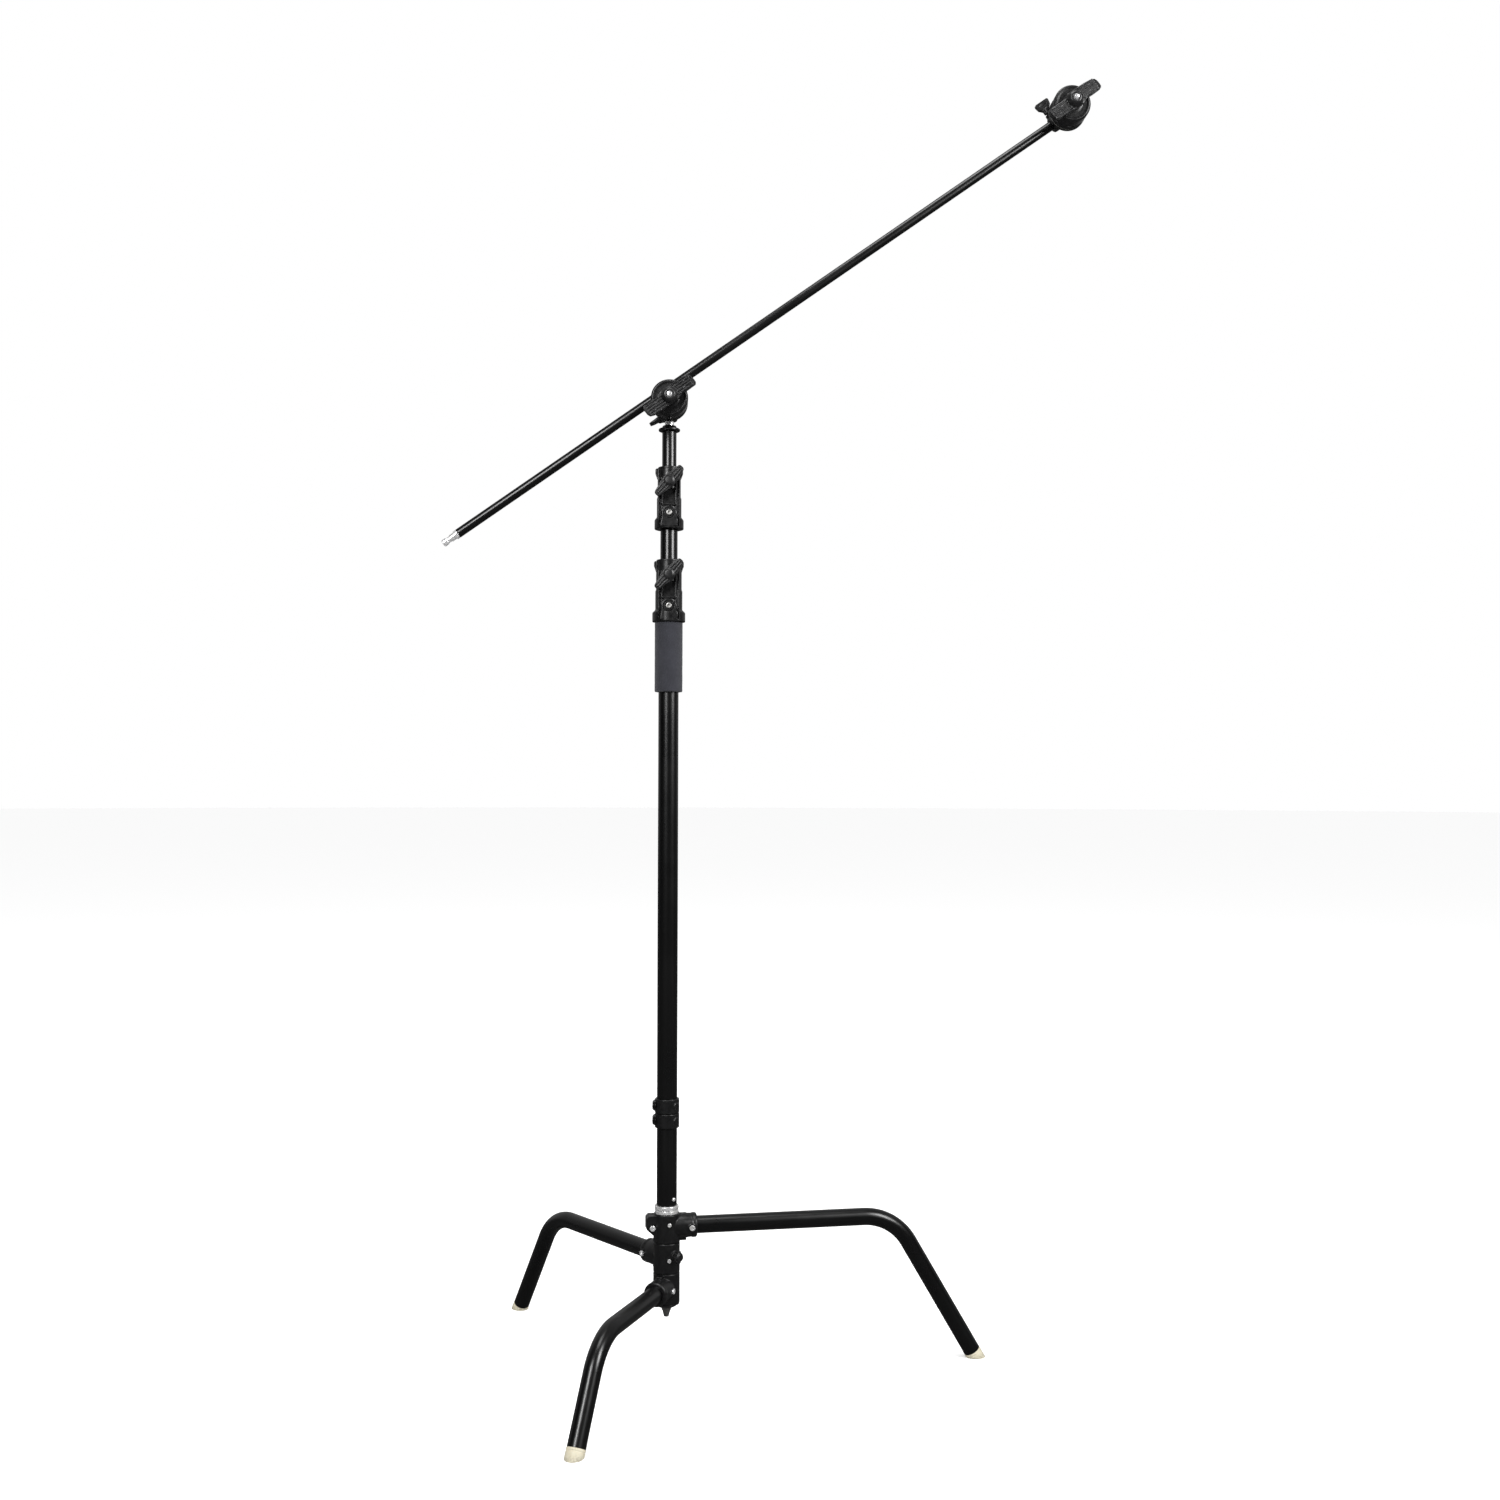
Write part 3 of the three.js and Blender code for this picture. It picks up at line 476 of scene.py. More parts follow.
def leg_tube(side, sides=64):
    line = leg_line(side, LEG_START, FOOT_LENGTH)
    inner = LEG_R - LEG_WALL
    bm = bmesh.new()
    rings = [ring_at(bm, x, z, a, LEG_R, sides) for x, z, a in line]
    rings += [ring_at(bm, x, z, a, inner, sides) for x, z, a in reversed(line)]
    for low, high in zip(rings, rings[1:] + rings[:1]):
        for i in range(sides):
            j = (i + 1) % sides
            bm.faces.new((low[i], low[j], high[j], high[i]))
    bmesh.ops.recalc_face_normals(bm, faces=bm.faces)
    return bm


def leg_foot(side):
    r = LEG_R + 0.2
    profile = [(0, -20), (r, -20), (r, 8.4), (r - 0.5, 8.9), (r - 0.5, 9.7), (r, 10.2),
               (r, FOOT_LENGTH - GAP),
               (12, FOOT_LENGTH - GAP), (12, 35), (0, 35)]
    reach = LEG_REACH[side]
    body = put(turned(profile, 0.5, 64), pointing((-math.sin(LEG_SLANT), 0, math.cos(LEG_SLANT)),
                                                  (reach, 0, 0)))
    return bevelled(cut(body, block(reach - 80, reach + 80, -40, 40, -60, 0)), 0.5, 2, 40)


def leg_ring_solids(low, high, side):
    """The parts of a leg's ring casting to add, and the bores to cut, in the leg's frame."""
    height = LEG_HEIGHT[side]
    ring = turned([(0, low), (RING_R, low), (RING_R, high), (0, high)], 1.4, 96)
    band = [turned([(0, z - 3), (RING_R, z - 3), (RING_R, z + 3), (0, z + 3)], 0.8, 96)
            for z in (low + 4, high - 4)]
    socket = turned([(0, 0), (SOCKET_R + 0, 0), (SOCKET_R, 30), (SOCKET_R - 0.8, SOCKET_END - 9),
                     (SOCKET_R, SOCKET_END - 8), (SOCKET_R, SOCKET_END - 2), (SOCKET_R - 1.6, SOCKET_END),
                     (0, SOCKET_END)], 1.0, 96)
    web = block(0, 34, -4.5, 4.5, max(low + 1, height - 26), min(high - 1, height + 26))
    adds = [ring, *band, put(socket, pointing((1, 0, 0), (0, 0, height))), web]
    cuts = [rod(POST_R + GAP, low - 5, high + 5, sides=96),
            put(rod(LEG_R + 0.25, LEG_START - GAP, SOCKET_END + 5, sides=96),
                pointing((1, 0, 0), (0, 0, height)))]
    return adds, cuts


SCREW_X = {"right": 42.0, "back": 42.0, "front": 22.0}


def side_boss(side, sign):
    place = (SCREW_X[side], 0, LEG_HEIGHT[side])
    boss = turned([(0, LEG_R + 2), (7, LEG_R + 2), (7, SOCKET_R), (0, SOCKET_R)], 0.8, 48)
    return put(boss, pointing((0, sign, 0), place))


def cap_screw(head_r, head_h, shank_r, shank_length, hexagon=0.52, crown=1.0):
    """A socket-head screw along +Z, its head standing on z = 0."""
    body = turned([(0, -shank_length), (shank_r, -shank_length), (shank_r, 0), (head_r, 0),
                   (head_r, head_h - crown * 0.4), (head_r * 0.72, head_h), (0, head_h)], 0.5, 48)
    socket = rod(head_r * hexagon, head_h - 1.6, head_h + 2, 0.05, 6)
    return bevelled(cut(body, socket), 0.15, 2, 50)


def build_leg_screw(name, side, sign, body):
    place = (SCREW_X[side], sign * (SOCKET_R + GAP), LEG_HEIGHT[side])
    screw = cap_screw(4.8, 3.0, 2.4, 5.2)
    return piece(name, screw, leg_frame(side) @ pointing((0, sign, 0), place), BRIGHT, body)


def build_legs():
    for side, body in (("right", "base"), ("back", "back_leg"), ("front", "front_leg")):
        piece(f"{side}_leg_tube", leg_tube(side), leg_frame(side), PAINT, body)
        piece(f"{side}_leg_foot", leg_foot(side), leg_frame(side), IVORY, body)
    build_leg_screw("right_leg_screw", "right", -1, "base")
    build_leg_screw("back_leg_screw", "back", 1, "back_leg")
    build_leg_screw("front_leg_screw", "front", 1, "front_leg")


LUG_X, LUG_HALF, LUG_LOW, LUG_HIGH = 36.0, 12.5, 246.0, 279.0
LUG_SCREW = (-26.0, 258.5)
SET_SCREW_ANGLE, UPPER_SET_SCREW_Z, LOWER_SET_SCREW_Z = -78 * DEG, 265.0, 204.0


def set_screw(name, side, z, body):
    """A small screw in the front of a ring; returns the hole it needs."""
    angle = SET_SCREW_ANGLE - LEG_AZIMUTH[side]
    axis = (math.cos(angle), math.sin(angle), 0)
    seat = RING_R + GAP
    piece(name, cap_screw(3.4, 1.6, 1.9, 4), leg_frame(side) @ pointing(axis,
                                                                        (axis[0] * seat, axis[1] * seat, z)),
          BRIGHT, body)
    return put(rod(2.3, POST_R, RING_R + 5), pointing(axis, (0, 0, z)))


def build_hub_top():
    low = SPLIT_HIGH + GAP
    adds, cuts = leg_ring_solids(low, HUB_TOP, "right")
    outline = [(-LUG_X, LUG_LOW + 10), (-LUG_X, LUG_HIGH - 4), (-LUG_X + 4, LUG_HIGH), (-12, LUG_HIGH),
               (-12, LUG_LOW - 6), (-20, LUG_LOW - 6), (-LUG_X + 12, LUG_LOW - 1)]
    adds.append(upright(slab(outline, -LUG_HALF, LUG_HALF)))
    adds.append(side_boss("right", -1))
    adds.append(put(rod(6.5, -LUG_HALF, LUG_HALF, 0.8), pointing((0, -1, 0),
                                                                 (LUG_SCREW[0], 0, LUG_SCREW[1]))))
    whole = cast(join(*adds), 0.62, 3)
    place = (SCREW_X["right"], 0, LEG_HEIGHT["right"])
    cuts += [block(-LUG_X - 5, -RING_R + 1, -0.8, 0.8, LUG_LOW - 20, LUG_HIGH + 5),
             put(rod(2.7, -22, 22), pointing((0, -1, 0), (LUG_SCREW[0], 0, LUG_SCREW[1]))),
             set_screw("hub_set_screw", "right", UPPER_SET_SCREW_Z, "base"),
             put(rod(2.7, LEG_R - 2, SOCKET_R + 5), pointing((0, -1, 0), place))]
    frame_right = leg_frame("right")
    piece("hub_top_casting", cut(whole, *cuts), frame_right, CASTING, "base")
    piece("hub_lug_screw", cap_screw(4.8, 3.0, 2.4, 18),
          frame_right @ pointing((0, -1, 0), (LUG_SCREW[0], -LUG_HALF - GAP, LUG_SCREW[1])), BRIGHT, "base")


KNOB_Z, KNOB_AZIMUTH = 211.0, -50 * DEG


def build_back_ring():
    adds, cuts = leg_ring_solids(SPLIT_LOW + GAP, SPLIT_HIGH, "back")
    angle = KNOB_AZIMUTH - LEG_AZIMUTH["back"]
    axis = (math.cos(angle), math.sin(angle), 0)
    adds.append(side_boss("back", 1))
    adds.append(put(rod(9, RING_R - 6, RING_R + 3, 1.0), pointing(axis, (0, 0, KNOB_Z))))
    cuts += [set_screw("back_ring_screw", "back", LOWER_SET_SCREW_Z, "back_leg"),
             put(rod(3.3, POST_R, RING_R + 8), pointing(axis, (0, 0, KNOB_Z))),
             put(rod(2.7, LEG_R - 2, SOCKET_R + 5), pointing((0, 1, 0),
                                                             (SCREW_X["back"], 0, LEG_HEIGHT["back"])))]
    piece("back_leg_ring", cut(cast(join(*adds), 0.62, 3), *cuts), leg_frame("back"), CASTING, "back_leg")

    outer = RING_R + 3.4
    neck = turned([(0, POST_R + 0.6), (3, POST_R + 0.6), (3, outer), (7.5, outer), (7.5, outer + 9.6),
                   (5.5, outer + 11.6), (0, outer + 11.6)], 0.6, 64)
    wing = slab([(-12, 2), (-10.5, -2.6), (-8.5, -3.5), (8.5, -3.5), (10.5, -2.6), (12, 2), (10.5, 4),
                 (8.5, 4.5),
                 (-8.5, 4.5), (-10.5, 4)], RING_R + 6, RING_R + 12)
    grips = [put(rod(1.3, outer + 1, outer + 9, 0.5, 24), Matrix.Translation(
        (7.3 * math.cos(i * math.pi / 4), 7.3 * math.sin(i * math.pi / 4), 0))) for i in range(8)]
    knob = cast(join(neck, wing, *grips), 0.4, 3)
    piece("leg_lock_knob", knob, leg_frame("back") @ pointing(axis, (0, 0, KNOB_Z)), PLASTIC, "back_leg_knob")


def build_front_ring():
    adds, cuts = leg_ring_solids(HUB_BOTTOM + HUB_FLANGE + GAP, SPLIT_LOW, "front")
    adds.append(side_boss("front", 1))
    cuts.append(put(rod(2.7, LEG_R - 2, SOCKET_R + 5), pointing((0, 1, 0),
                                                                (SCREW_X["front"], 0, LEG_HEIGHT["front"]))))
    piece("front_leg_ring", cut(cast(join(*adds), 0.62, 3), *cuts), leg_frame("front"), CASTING, "front_leg")


def build_post():
    flange = HUB_BOTTOM + HUB_FLANGE
    post = turned([(14.6, HUB_BOTTOM + 8), (0, HUB_BOTTOM + 8)][::-1] + [(14.6, HUB_TOP - GAP),
                  (POST_R, HUB_TOP - GAP), (POST_R, flange), (RING_R - 0.5, flange),
                                                                         (RING_R - 0.5, HUB_BOTTOM + 5),
                  (RING_R - 8, HUB_BOTTOM), (0, HUB_BOTTOM)], 0.8, 96)
    piece("centre_post", post, STAND, CASTING, "base")
    nut = bevelled(rod(8.5, HUB_BOTTOM - 7, HUB_BOTTOM - GAP, 0.05, 6), 0.6, 3, 40)
    crown = turned([(0, HUB_BOTTOM - 7.6), (7.2, HUB_BOTTOM - 7.6), (8.6, HUB_BOTTOM - 5),
                    (8.6, HUB_BOTTOM - 1),
                    (0, HUB_BOTTOM - 1)], 0.3, 64)
    bolt = turned([(0, HUB_BOTTOM - 18), (4.1, HUB_BOTTOM - 18), (6.5, HUB_BOTTOM - 9), (6.5, HUB_BOTTOM - 6),
                   (0, HUB_BOTTOM - 6)], 0.8, 64)
    rounded_nut = boolean(nut, [crown], "INTERSECT")
    piece("centre_nut", join(rounded_nut, bolt), STAND, DULL, "base")
    low = HUB_TOP + GAP
    ridge, groove = 20.8, 19.2
    profile = [(ridge - 0.6, low), (ridge, low + 0.8), (ridge, low + 5), (groove, low + 5.6),
               (groove, low + 7.4),
               (ridge, low + 8), (ridge, SILVER_RING_TOP - 1), (ridge - 0.8, SILVER_RING_TOP)]
    piece("receiver_ring", sleeve(14.75, profile, 0.35, 128), STAND, BRIGHT, "base")


# ---- column, risers and their clamps ----
def tube(name, r, wall, low, high, body, material=None):
    profile = [(r, low), (r, high)]
    return piece(name, sleeve(r - wall, profile, 0.5, 96), STAND, material or PAINT, body)


def build_coupling(name, z, low, high):
    """Half of the two-part coupling: a collar clamped by a lug and one screw."""
    outline = [(COLLAR_R, low), (COLLAR_R, high)]
    collar = turned([(0, low), *outline, (0, high)], 1.2, 96)
    lug = upright(slab([(-25.4, z - 5), (-25.4, z + 5), (-22.6, z + 8), (-14, z + 8), (-14, z - 8),
                        (-22.6, z - 8)],
                       -9, 9))
    boss = put(rod(6.0, COLLAR_R - 5, COLLAR_R + 1.4, 1.2), pointing((0.76, -0.65, 0), (0, 0, z)))
    lips = [turned([(0, edge - 1.6), (COLLAR_R, edge - 1.6), (COLLAR_R, edge + 1.6), (0, edge + 1.6)], 0.8,
                   96)
            for edge in (low + 2.4, high - 2.4)]
    body = cast(join(collar, lug, boss, *lips), 0.5, 3)
    body = cut(body, rod(MAIN_R + 0.35, low - 5, high + 5, sides=96),
               block(-30, -16, -0.8, 0.8, low - 5, high + 5),
               put(rod(2.4, -20, 20), pointing((0, -1, 0), (COLLAR_SCREW_X, 0, z))))
    piece(f"coupling_{name}_collar", body, STAND, CASTING, "column")
    screw = cap_screw(3.4, 2.4, 2.1, 14)
    piece(f"coupling_{name}_screw", screw, STAND @ pointing((0, -1, 0), (COLLAR_SCREW_X, -9 - GAP, z)), PAINT,
          "column")


COLLAR_R, COLLAR_SCREW_X = 21.1, -22.3
BUTTON_Z, BUTTON_AZIMUTH = 307.0, -47.6 * DEG


def build_column():
    spigot = turned([(0, 300), (MAIN_R - 2, 300), (MAIN_R - 2, 340), (0, 340)], 0.5, 64)
    shaft = turned([(0, 140), (11, 140), (14.3, 146), (14.3, SILVER_RING_TOP + GAP), (14.3, 310), (0, 310)],
                   0.8, 96)
    button_axis = (math.cos(BUTTON_AZIMUTH), math.sin(BUTTON_AZIMUTH), 0)
    bore = put(rod(3.5, 2, 30), pointing(button_axis, (0, 0, BUTTON_Z)))
    low = SILVER_RING_TOP + GAP
    body = turned([(0, low), (MAIN_R, low), (MAIN_R, COUPLING_SPLIT - GAP), (0, COUPLING_SPLIT - GAP)], 0.6,
                  96)
    body = cut(body, rod(MAIN_R - 1.6, low - 5, COUPLING_SPLIT + 5, sides=96), bore)
    piece("base_tube", body, STAND, PAINT, "column")
    bore = put(rod(3.5, 2, 30), pointing(button_axis, (0, 0, BUTTON_Z)))
    piece("column_spigot", cut(join(spigot, shaft), bore), STAND, DULL, "column")
    button = turned([(0, 13), (3.2, 13), (3.2, 18.6), (2.4, 20.2), (0, 20.6)], 0.7, 48)
    piece("release_button", button, STAND @ pointing(button_axis, (0, 0, BUTTON_Z)), BRIGHT, "button")
    build_coupling("lower", COUPLING_SPLIT - 12, COUPLING_SPLIT - COUPLING_HALF, COUPLING_SPLIT - GAP)
    build_coupling("upper", COUPLING_SPLIT + 13, COUPLING_SPLIT + GAP, COUPLING_SPLIT + COUPLING_HALF)
    tube("main_tube", MAIN_R, TUBE_WALL, COUPLING_SPLIT, LOWER_LOCK_Z + TUBE_INTO_LOCK, "column")


def build_foam():
    low, high = FOAM_BOTTOM, LOWER_LOCK_Z - GAP
    grip = sleeve(MAIN_R + 0.35, [(FOAM_R, low), (FOAM_R, low + 12), (FOAM_R, low + 40), (FOAM_R, high - 40),
                                  (FOAM_R, high - 12), (FOAM_R, high)], 2.2, 160)
    bmesh.ops.subdivide_edges(grip, edges=[e for e in grip.edges
                                           if abs(e.verts[0].co.z - e.verts[1].co.z) > 5],
                              cuts=60, use_grid_fill=True)
    # compressed nap: small dents that only go inwards
    for v in grip.verts:
        r = math.hypot(v.co.x, v.co.y)
        if r > FOAM_R - 3:
            dent = 0.35 * max(0, noise.fractal(v.co / 9, 1.0, 2.0, 4)) + 0.12 * max(0,
                                                                                    noise.noise(v.co / 2.2))
            v.co.x, v.co.y = v.co.x * (r - dent) / r, v.co.y * (r - dent) / r
    obj = piece("foam_grip", grip, STAND, FOAM, "column", sharp=60)


def lock_frame(base):
    return STAND @ Matrix.Translation((0, 0, base))


EAR_LOW, EAR_HIGH, BOLT_H, SHOE_R, LOCK_SCREW_H = 86.0, 106.0, 80.0, 4.0, 26.0


def lock_casting(body_r, lower_r, upper_r, skirt, ear_x):
    """A riser clamp: a skirt, a windowed body with ribs, a bell-shaped boss in front, and two ears."""
    shell = turned([(0, 0), (skirt, 0), (skirt, 16), (body_r, 21), (body_r, 54), (body_r - 1.2, 56),
                    (body_r - 1.2, 86), (body_r - 2, 90), (body_r - 2, LOCK_H), (0, LOCK_H)], 1.2, 128)
    lips = [turned([(0, z - 1.5), (r, z - 1.5), (r, z + 1.5), (0, z + 1.5)], 0.8, 128)
            for z, r in ((1.5, skirt), (14.5, skirt), (LOCK_H - 1.5, body_r - 1.8))]
    ears = []
    for side in (-1, 1):
        outline = [(side * 6, EAR_LOW - 2), (side * (body_r - 3), EAR_LOW - 2),
                   (side * (body_r - 1), EAR_LOW + 2),
                   (side * (ear_x - 1.2), EAR_LOW + 9), (side * ear_x, EAR_LOW + 12),
                   (side * ear_x, EAR_HIGH - 2),
                   (side * (ear_x - 2), EAR_HIGH), (side * 6, EAR_HIGH - 1)]
        ears.append(upright(slab(outline[::side], -7, 7)))
    arch_r, front = 12.0, body_r + 4
    bell = [(-arch_r - 2.4, 3), (arch_r + 2.4, 3), (arch_r + 2.2, 9), (arch_r + 0.4, 16)]
    crown = outline_arc(0, LOCK_SCREW_H, arch_r, 0, math.pi, 24)
    arch = upright(slab(bell + crown + [(-arch_r - 0.4, 16), (-arch_r - 2.2, 9)], 12, front))
    at_screw = pointing((0, -1, 0), (0, 0, LOCK_SCREW_H))
    ribs = [block(*sorted((side * 11, side * 13.4)), -(body_r - 0.4), -10, 22, 88) for side in (-1, 1)]
    ribs += [block(*sorted((side * 16.6, side * 18.6)), -(body_r - 5.4), -6, 22, 88) for side in (-1, 1)]
    lever_boss = put(rod(8, 8, front, 1.2, 64), pointing((0, -1, 0), (0, 0, BOLT_H)))
    sill = upright(slab([(-12.2, 39.5), (12.2, 39.5), (12.2, 42.4), (-12.2, 42.4)], 12, body_r + 1))
    whole = cast(join(shell, *lips, *ears, arch, *ribs, lever_boss, sill), 0.55, 3)

    window = upright(slab([(-10.5, 43.5), (-9, 42), (9, 42), (10.5, 43.5), (10.5, 68.5), (9, 70), (-9, 70),
                           (-10.5, 68.5)], lower_r + 1.5, body_r + 12))
    moat = put(sleeve(8.0, [(10.4, front - 2.2), (10.4, front + 5)], 0.1), at_screw)
    slots = []
    for side in (-1, 1):
        curve = [(side * x, z) for x, z in ((14.8, 3.5), (17.6, 3.5), (18.2, 11),
                                            (17.6, 18.5), (14.6, 21), (15.4, 11))]
        slots.append(upright(slab(curve[::side], skirt - 12.6, skirt + 5)))
    cuts = [window, moat, *slots, rod(lower_r + 0.35, -5, TUBE_INTO_LOCK + 0.3, 0.1, 96),
            rod(upper_r + 0.4, 50, LOCK_H + 5, 0.1, 96),
            put(rod(SHOE_R + 0.35, upper_r - 2, body_r + 9, 0.1), pointing((0, -1, 0), (0, 0, BOLT_H))),
            put(rod(2.6, lower_r - 2, body_r + 9, 0.1), at_screw)]
    return cut(whole, *cuts)


def lock_lever(body_r):
    """The lever: a hub between two broad arms that narrow to their tips, and a pin for the shoe."""
    back, front = body_r + 5.6, body_r + 14.6
    half = [(33, -2.6), (33, 2.6), (31.6, 5.2), (27, 6.6), (16, 8.6), (10, 10.6)]
    crown = outline_arc(0, 0, 11.2, 1.15, math.pi - 1.15, 8)
    top = half + crown + [(-x, z) for x, z in half[::-1]]
    body = upright(slab(top + [(-x, -z) for x, z in top if abs(x) < 33], back, front))
    dome = [(0, back), (10.6, back), (10.6, front - 1), (9, front + 1), (6, front + 2.6), (0, front + 3)]
    hub = put(turned(dome, 1.2, 64), pointing((0, -1, 0)))
    spine = [put(rod(2.1, 6, 30, 1.6, 24), Matrix.Translation((0, -front + 0.9, 0)) @ pointing((side, 0, 0)))
             for side in (-1, 1)]
    rims = [put(rod(1.3, 6, 29, 1.0, 24), Matrix.Translation((0, -front + 0.6, side * 6.2))
                @ pointing((along, 0, side * -0.08))) for side in (-1, 1) for along in (-1, 1)]
    stub = put(rod(SHOE_R - 0.1, body_r + 0.8, back + 2, 0.3), pointing((0, -1, 0)))
    return join(cast(join(body, hub, *spine, *rims), 0.42, 3), stub)


LEVER_TURN = -48 * DEG


def build_lock(name, base, lower_r, upper_r, radii, body, lever_body):
    body_r, skirt, ear_x = radii
    place = lock_frame(base)
    piece(f"{name}_lock_casting", lock_casting(body_r, lower_r, upper_r, skirt, ear_x), place, CASTING, body)
    screw = cap_screw(5.0, 3.0, 2.4, 9)
    piece(f"{name}_lock_screw", screw, place @ pointing((0, -1, 0), (0, -(body_r + 4 + GAP), LOCK_SCREW_H)),
          DULL, body)
    shoe = put(turned([(0, upper_r + 0.5), (SHOE_R - 0.2, upper_r + 0.5), (SHOE_R, upper_r + 1.2),
                       (SHOE_R, body_r), (0, body_r)], 0.3), pointing((0, -1, 0), (0, 0, BOLT_H)))
    piece(f"{name}_lock_shoe", shoe, place, FIBRE, body)
    lever = put(lock_lever(body_r), turn_about("Y", LEVER_TURN))
    piece(f"{name}_lock_lever", lever, place @ Matrix.Translation((0, 0, BOLT_H)), PLASTIC, lever_body)


GUIDE_Z, TOP_GUIDE_Z = 545.0, 640.0


def build_guide(name, tube_r, low, body):
    collar, plug = tube_r + 0.5, tube_r - TUBE_WALL - 0.4
    profile = [(collar, low - 20), (collar, low - 14), (collar - 0.6, low - 13.4), (collar - 0.6, low - 7),
               (collar, low - 6.4), (collar, low - GAP), (plug, low - GAP), (plug, low + 15)]
    piece(name, sleeve(7, profile, 0.4, 96), STAND, PLASTIC, body)


def build_risers():
    tube_top = STAND_TOP - 13.5
    tube("middle_tube", MIDDLE_R, TUBE_WALL, GUIDE_Z, UPPER_LOCK_Z + TUBE_INTO_LOCK, "riser_1")
    build_guide("middle_tube_guide", MIDDLE_R, GUIDE_Z, "riser_1")
    tube("top_tube", TOP_R, TUBE_WALL, TOP_GUIDE_Z, tube_top, "riser_2")
    build_guide("top_tube_guide", TOP_R, TOP_GUIDE_Z, "riser_2")
    collar = sleeve(STUD_R + 0.35, [(15.6, tube_top + GAP), (18.2, tube_top + 1.4), (18.8, tube_top + 2.2),
                                    (18.8, tube_top + 4.4), (17.6, tube_top + 5.6), (14.2, tube_top + 6.6),
                                    (12.4, tube_top + 8.4), (11.6, STAND_TOP - 3)], 0.5, 128)
    piece("top_collar", collar, STAND, CASTING, "riser_2")
    stud_top = BOLT_Z + 6
    inner = TOP_R - TUBE_WALL - 0.4
    stud = turned([(0, tube_top - 40), (inner, tube_top - 40), (inner, tube_top - 1), (STUD_R, tube_top - 1),
                   (STUD_R, STAND_TOP + 6), (STUD_R - 1, STAND_TOP + 7.5), (STUD_R - 1, STAND_TOP + 15),
                   (STUD_R, STAND_TOP + 16.5), (STUD_R, stud_top - 1.4), (STUD_R - 1.4, stud_top),
                   (0, stud_top)],
                  0.4, 96)
    piece("top_stud", stud, STAND, BRIGHT, "riser_2")


# ---- grip heads ----
PLATE_BACK, PLATE_FRONT, DISC_FRONT, JAW_MEET, JAW_FRONT = 11.7, 19.7, 22.0, -ARM_Y, 58.0
WASHER_FRONT, HANDLE_BACK, HANDLE_FRONT, BOLT_END, BOLT_R = 60.3, 60.6, 84.0, 87.0, 4.7
WING_Z, HALF_INCH_R = -21.0, 6.6
TO_FRONT = pointing((0, -1, 0))


def disc(profile, radius=0.7, sides=128):
    return put(turned(profile, radius, sides), TO_FRONT)


def bolt_bore(low, high, r=BOLT_R + 0.35):
    return put(rod(r, low, high, 0.05, 64), TO_FRONT)


def head_receiver(wing_axis):
    body = turned([(0, -29), (12, -29), (14, -27), (14, 12), (11, 17), (0, 17)], 1.2, 96)
    band = turned([(0, -13), (14.0, -13), (14.0, -9), (0, -9)], 1.0, 96)
    boss = put(rod(7.2, 8, 19, 1.0), Matrix.Translation((0, 0, WING_Z)) @ pointing(wing_axis))
    neck = block(-14, 14, -14, -2, -22, 14)
    back_plate = disc([(0, PLATE_BACK), (PLATE_R - 3, PLATE_BACK), (PLATE_R, PLATE_BACK + 2.4),
                       (PLATE_R, PLATE_FRONT - 1), (PLATE_R - 0.8, PLATE_FRONT), (0, PLATE_FRONT)])
    webs = [put(block(-2.2, 2.2, -13, -7, 12, PLATE_R - 5), turn_about("Y", angle * DEG))
            for angle in (62, -62)]
    whole = cast(join(body, band, boss, neck, back_plate, *webs), 0.6, 3)
    return cut(whole, rod(STUD_R + 0.35, -35, 10, 0.1, 96), bolt_bore(12.4, 25, 8.8),
               put(rod(3.65, 4, 25, 0.05, 48), Matrix.Translation((0, 0, WING_Z)) @ pointing(wing_axis)))


def wing_screw():
    """Along +Z: a plain shank, a round hub and a flat paddle with dished faces."""
    hub = turned([(0, 21), (6.5, 21), (6.5, 29.5), (5, 31), (0, 31)], 0.7, 64)
    outline = [(-6, 27), (6, 27), (12, 33), (13.5, 41), (12.9, 43.4), (11, 44.5), (-11, 44.5), (-12.9, 43.4),
               (-13.5, 41), (-12, 33)]
    paddle = upright(slab(outline, -3.2, 3.2))
    body = cast(join(hub, paddle), 0.42, 3)
    dishes = [put(turned([(0, 2.3), (7.2, 2.9), (9.5, 4), (0, 4)], 0.2, 64),
                  Matrix.Translation((0, 0, 38)) @ Matrix.Diagonal((1, 1, 0.5, 1)) @ pointing((0, side, 0)))
              for side in (-1, 1)]
    shank = rod(3.3, 8.6, 22, 0.4)
    return join(cut(body, *dishes), shank)


def groove(r, offset):
    return put(rod(r, -50, 50, 0.05, 96), Matrix.Translation((0, -JAW_MEET, offset)) @ pointing((1, 0, 0)))


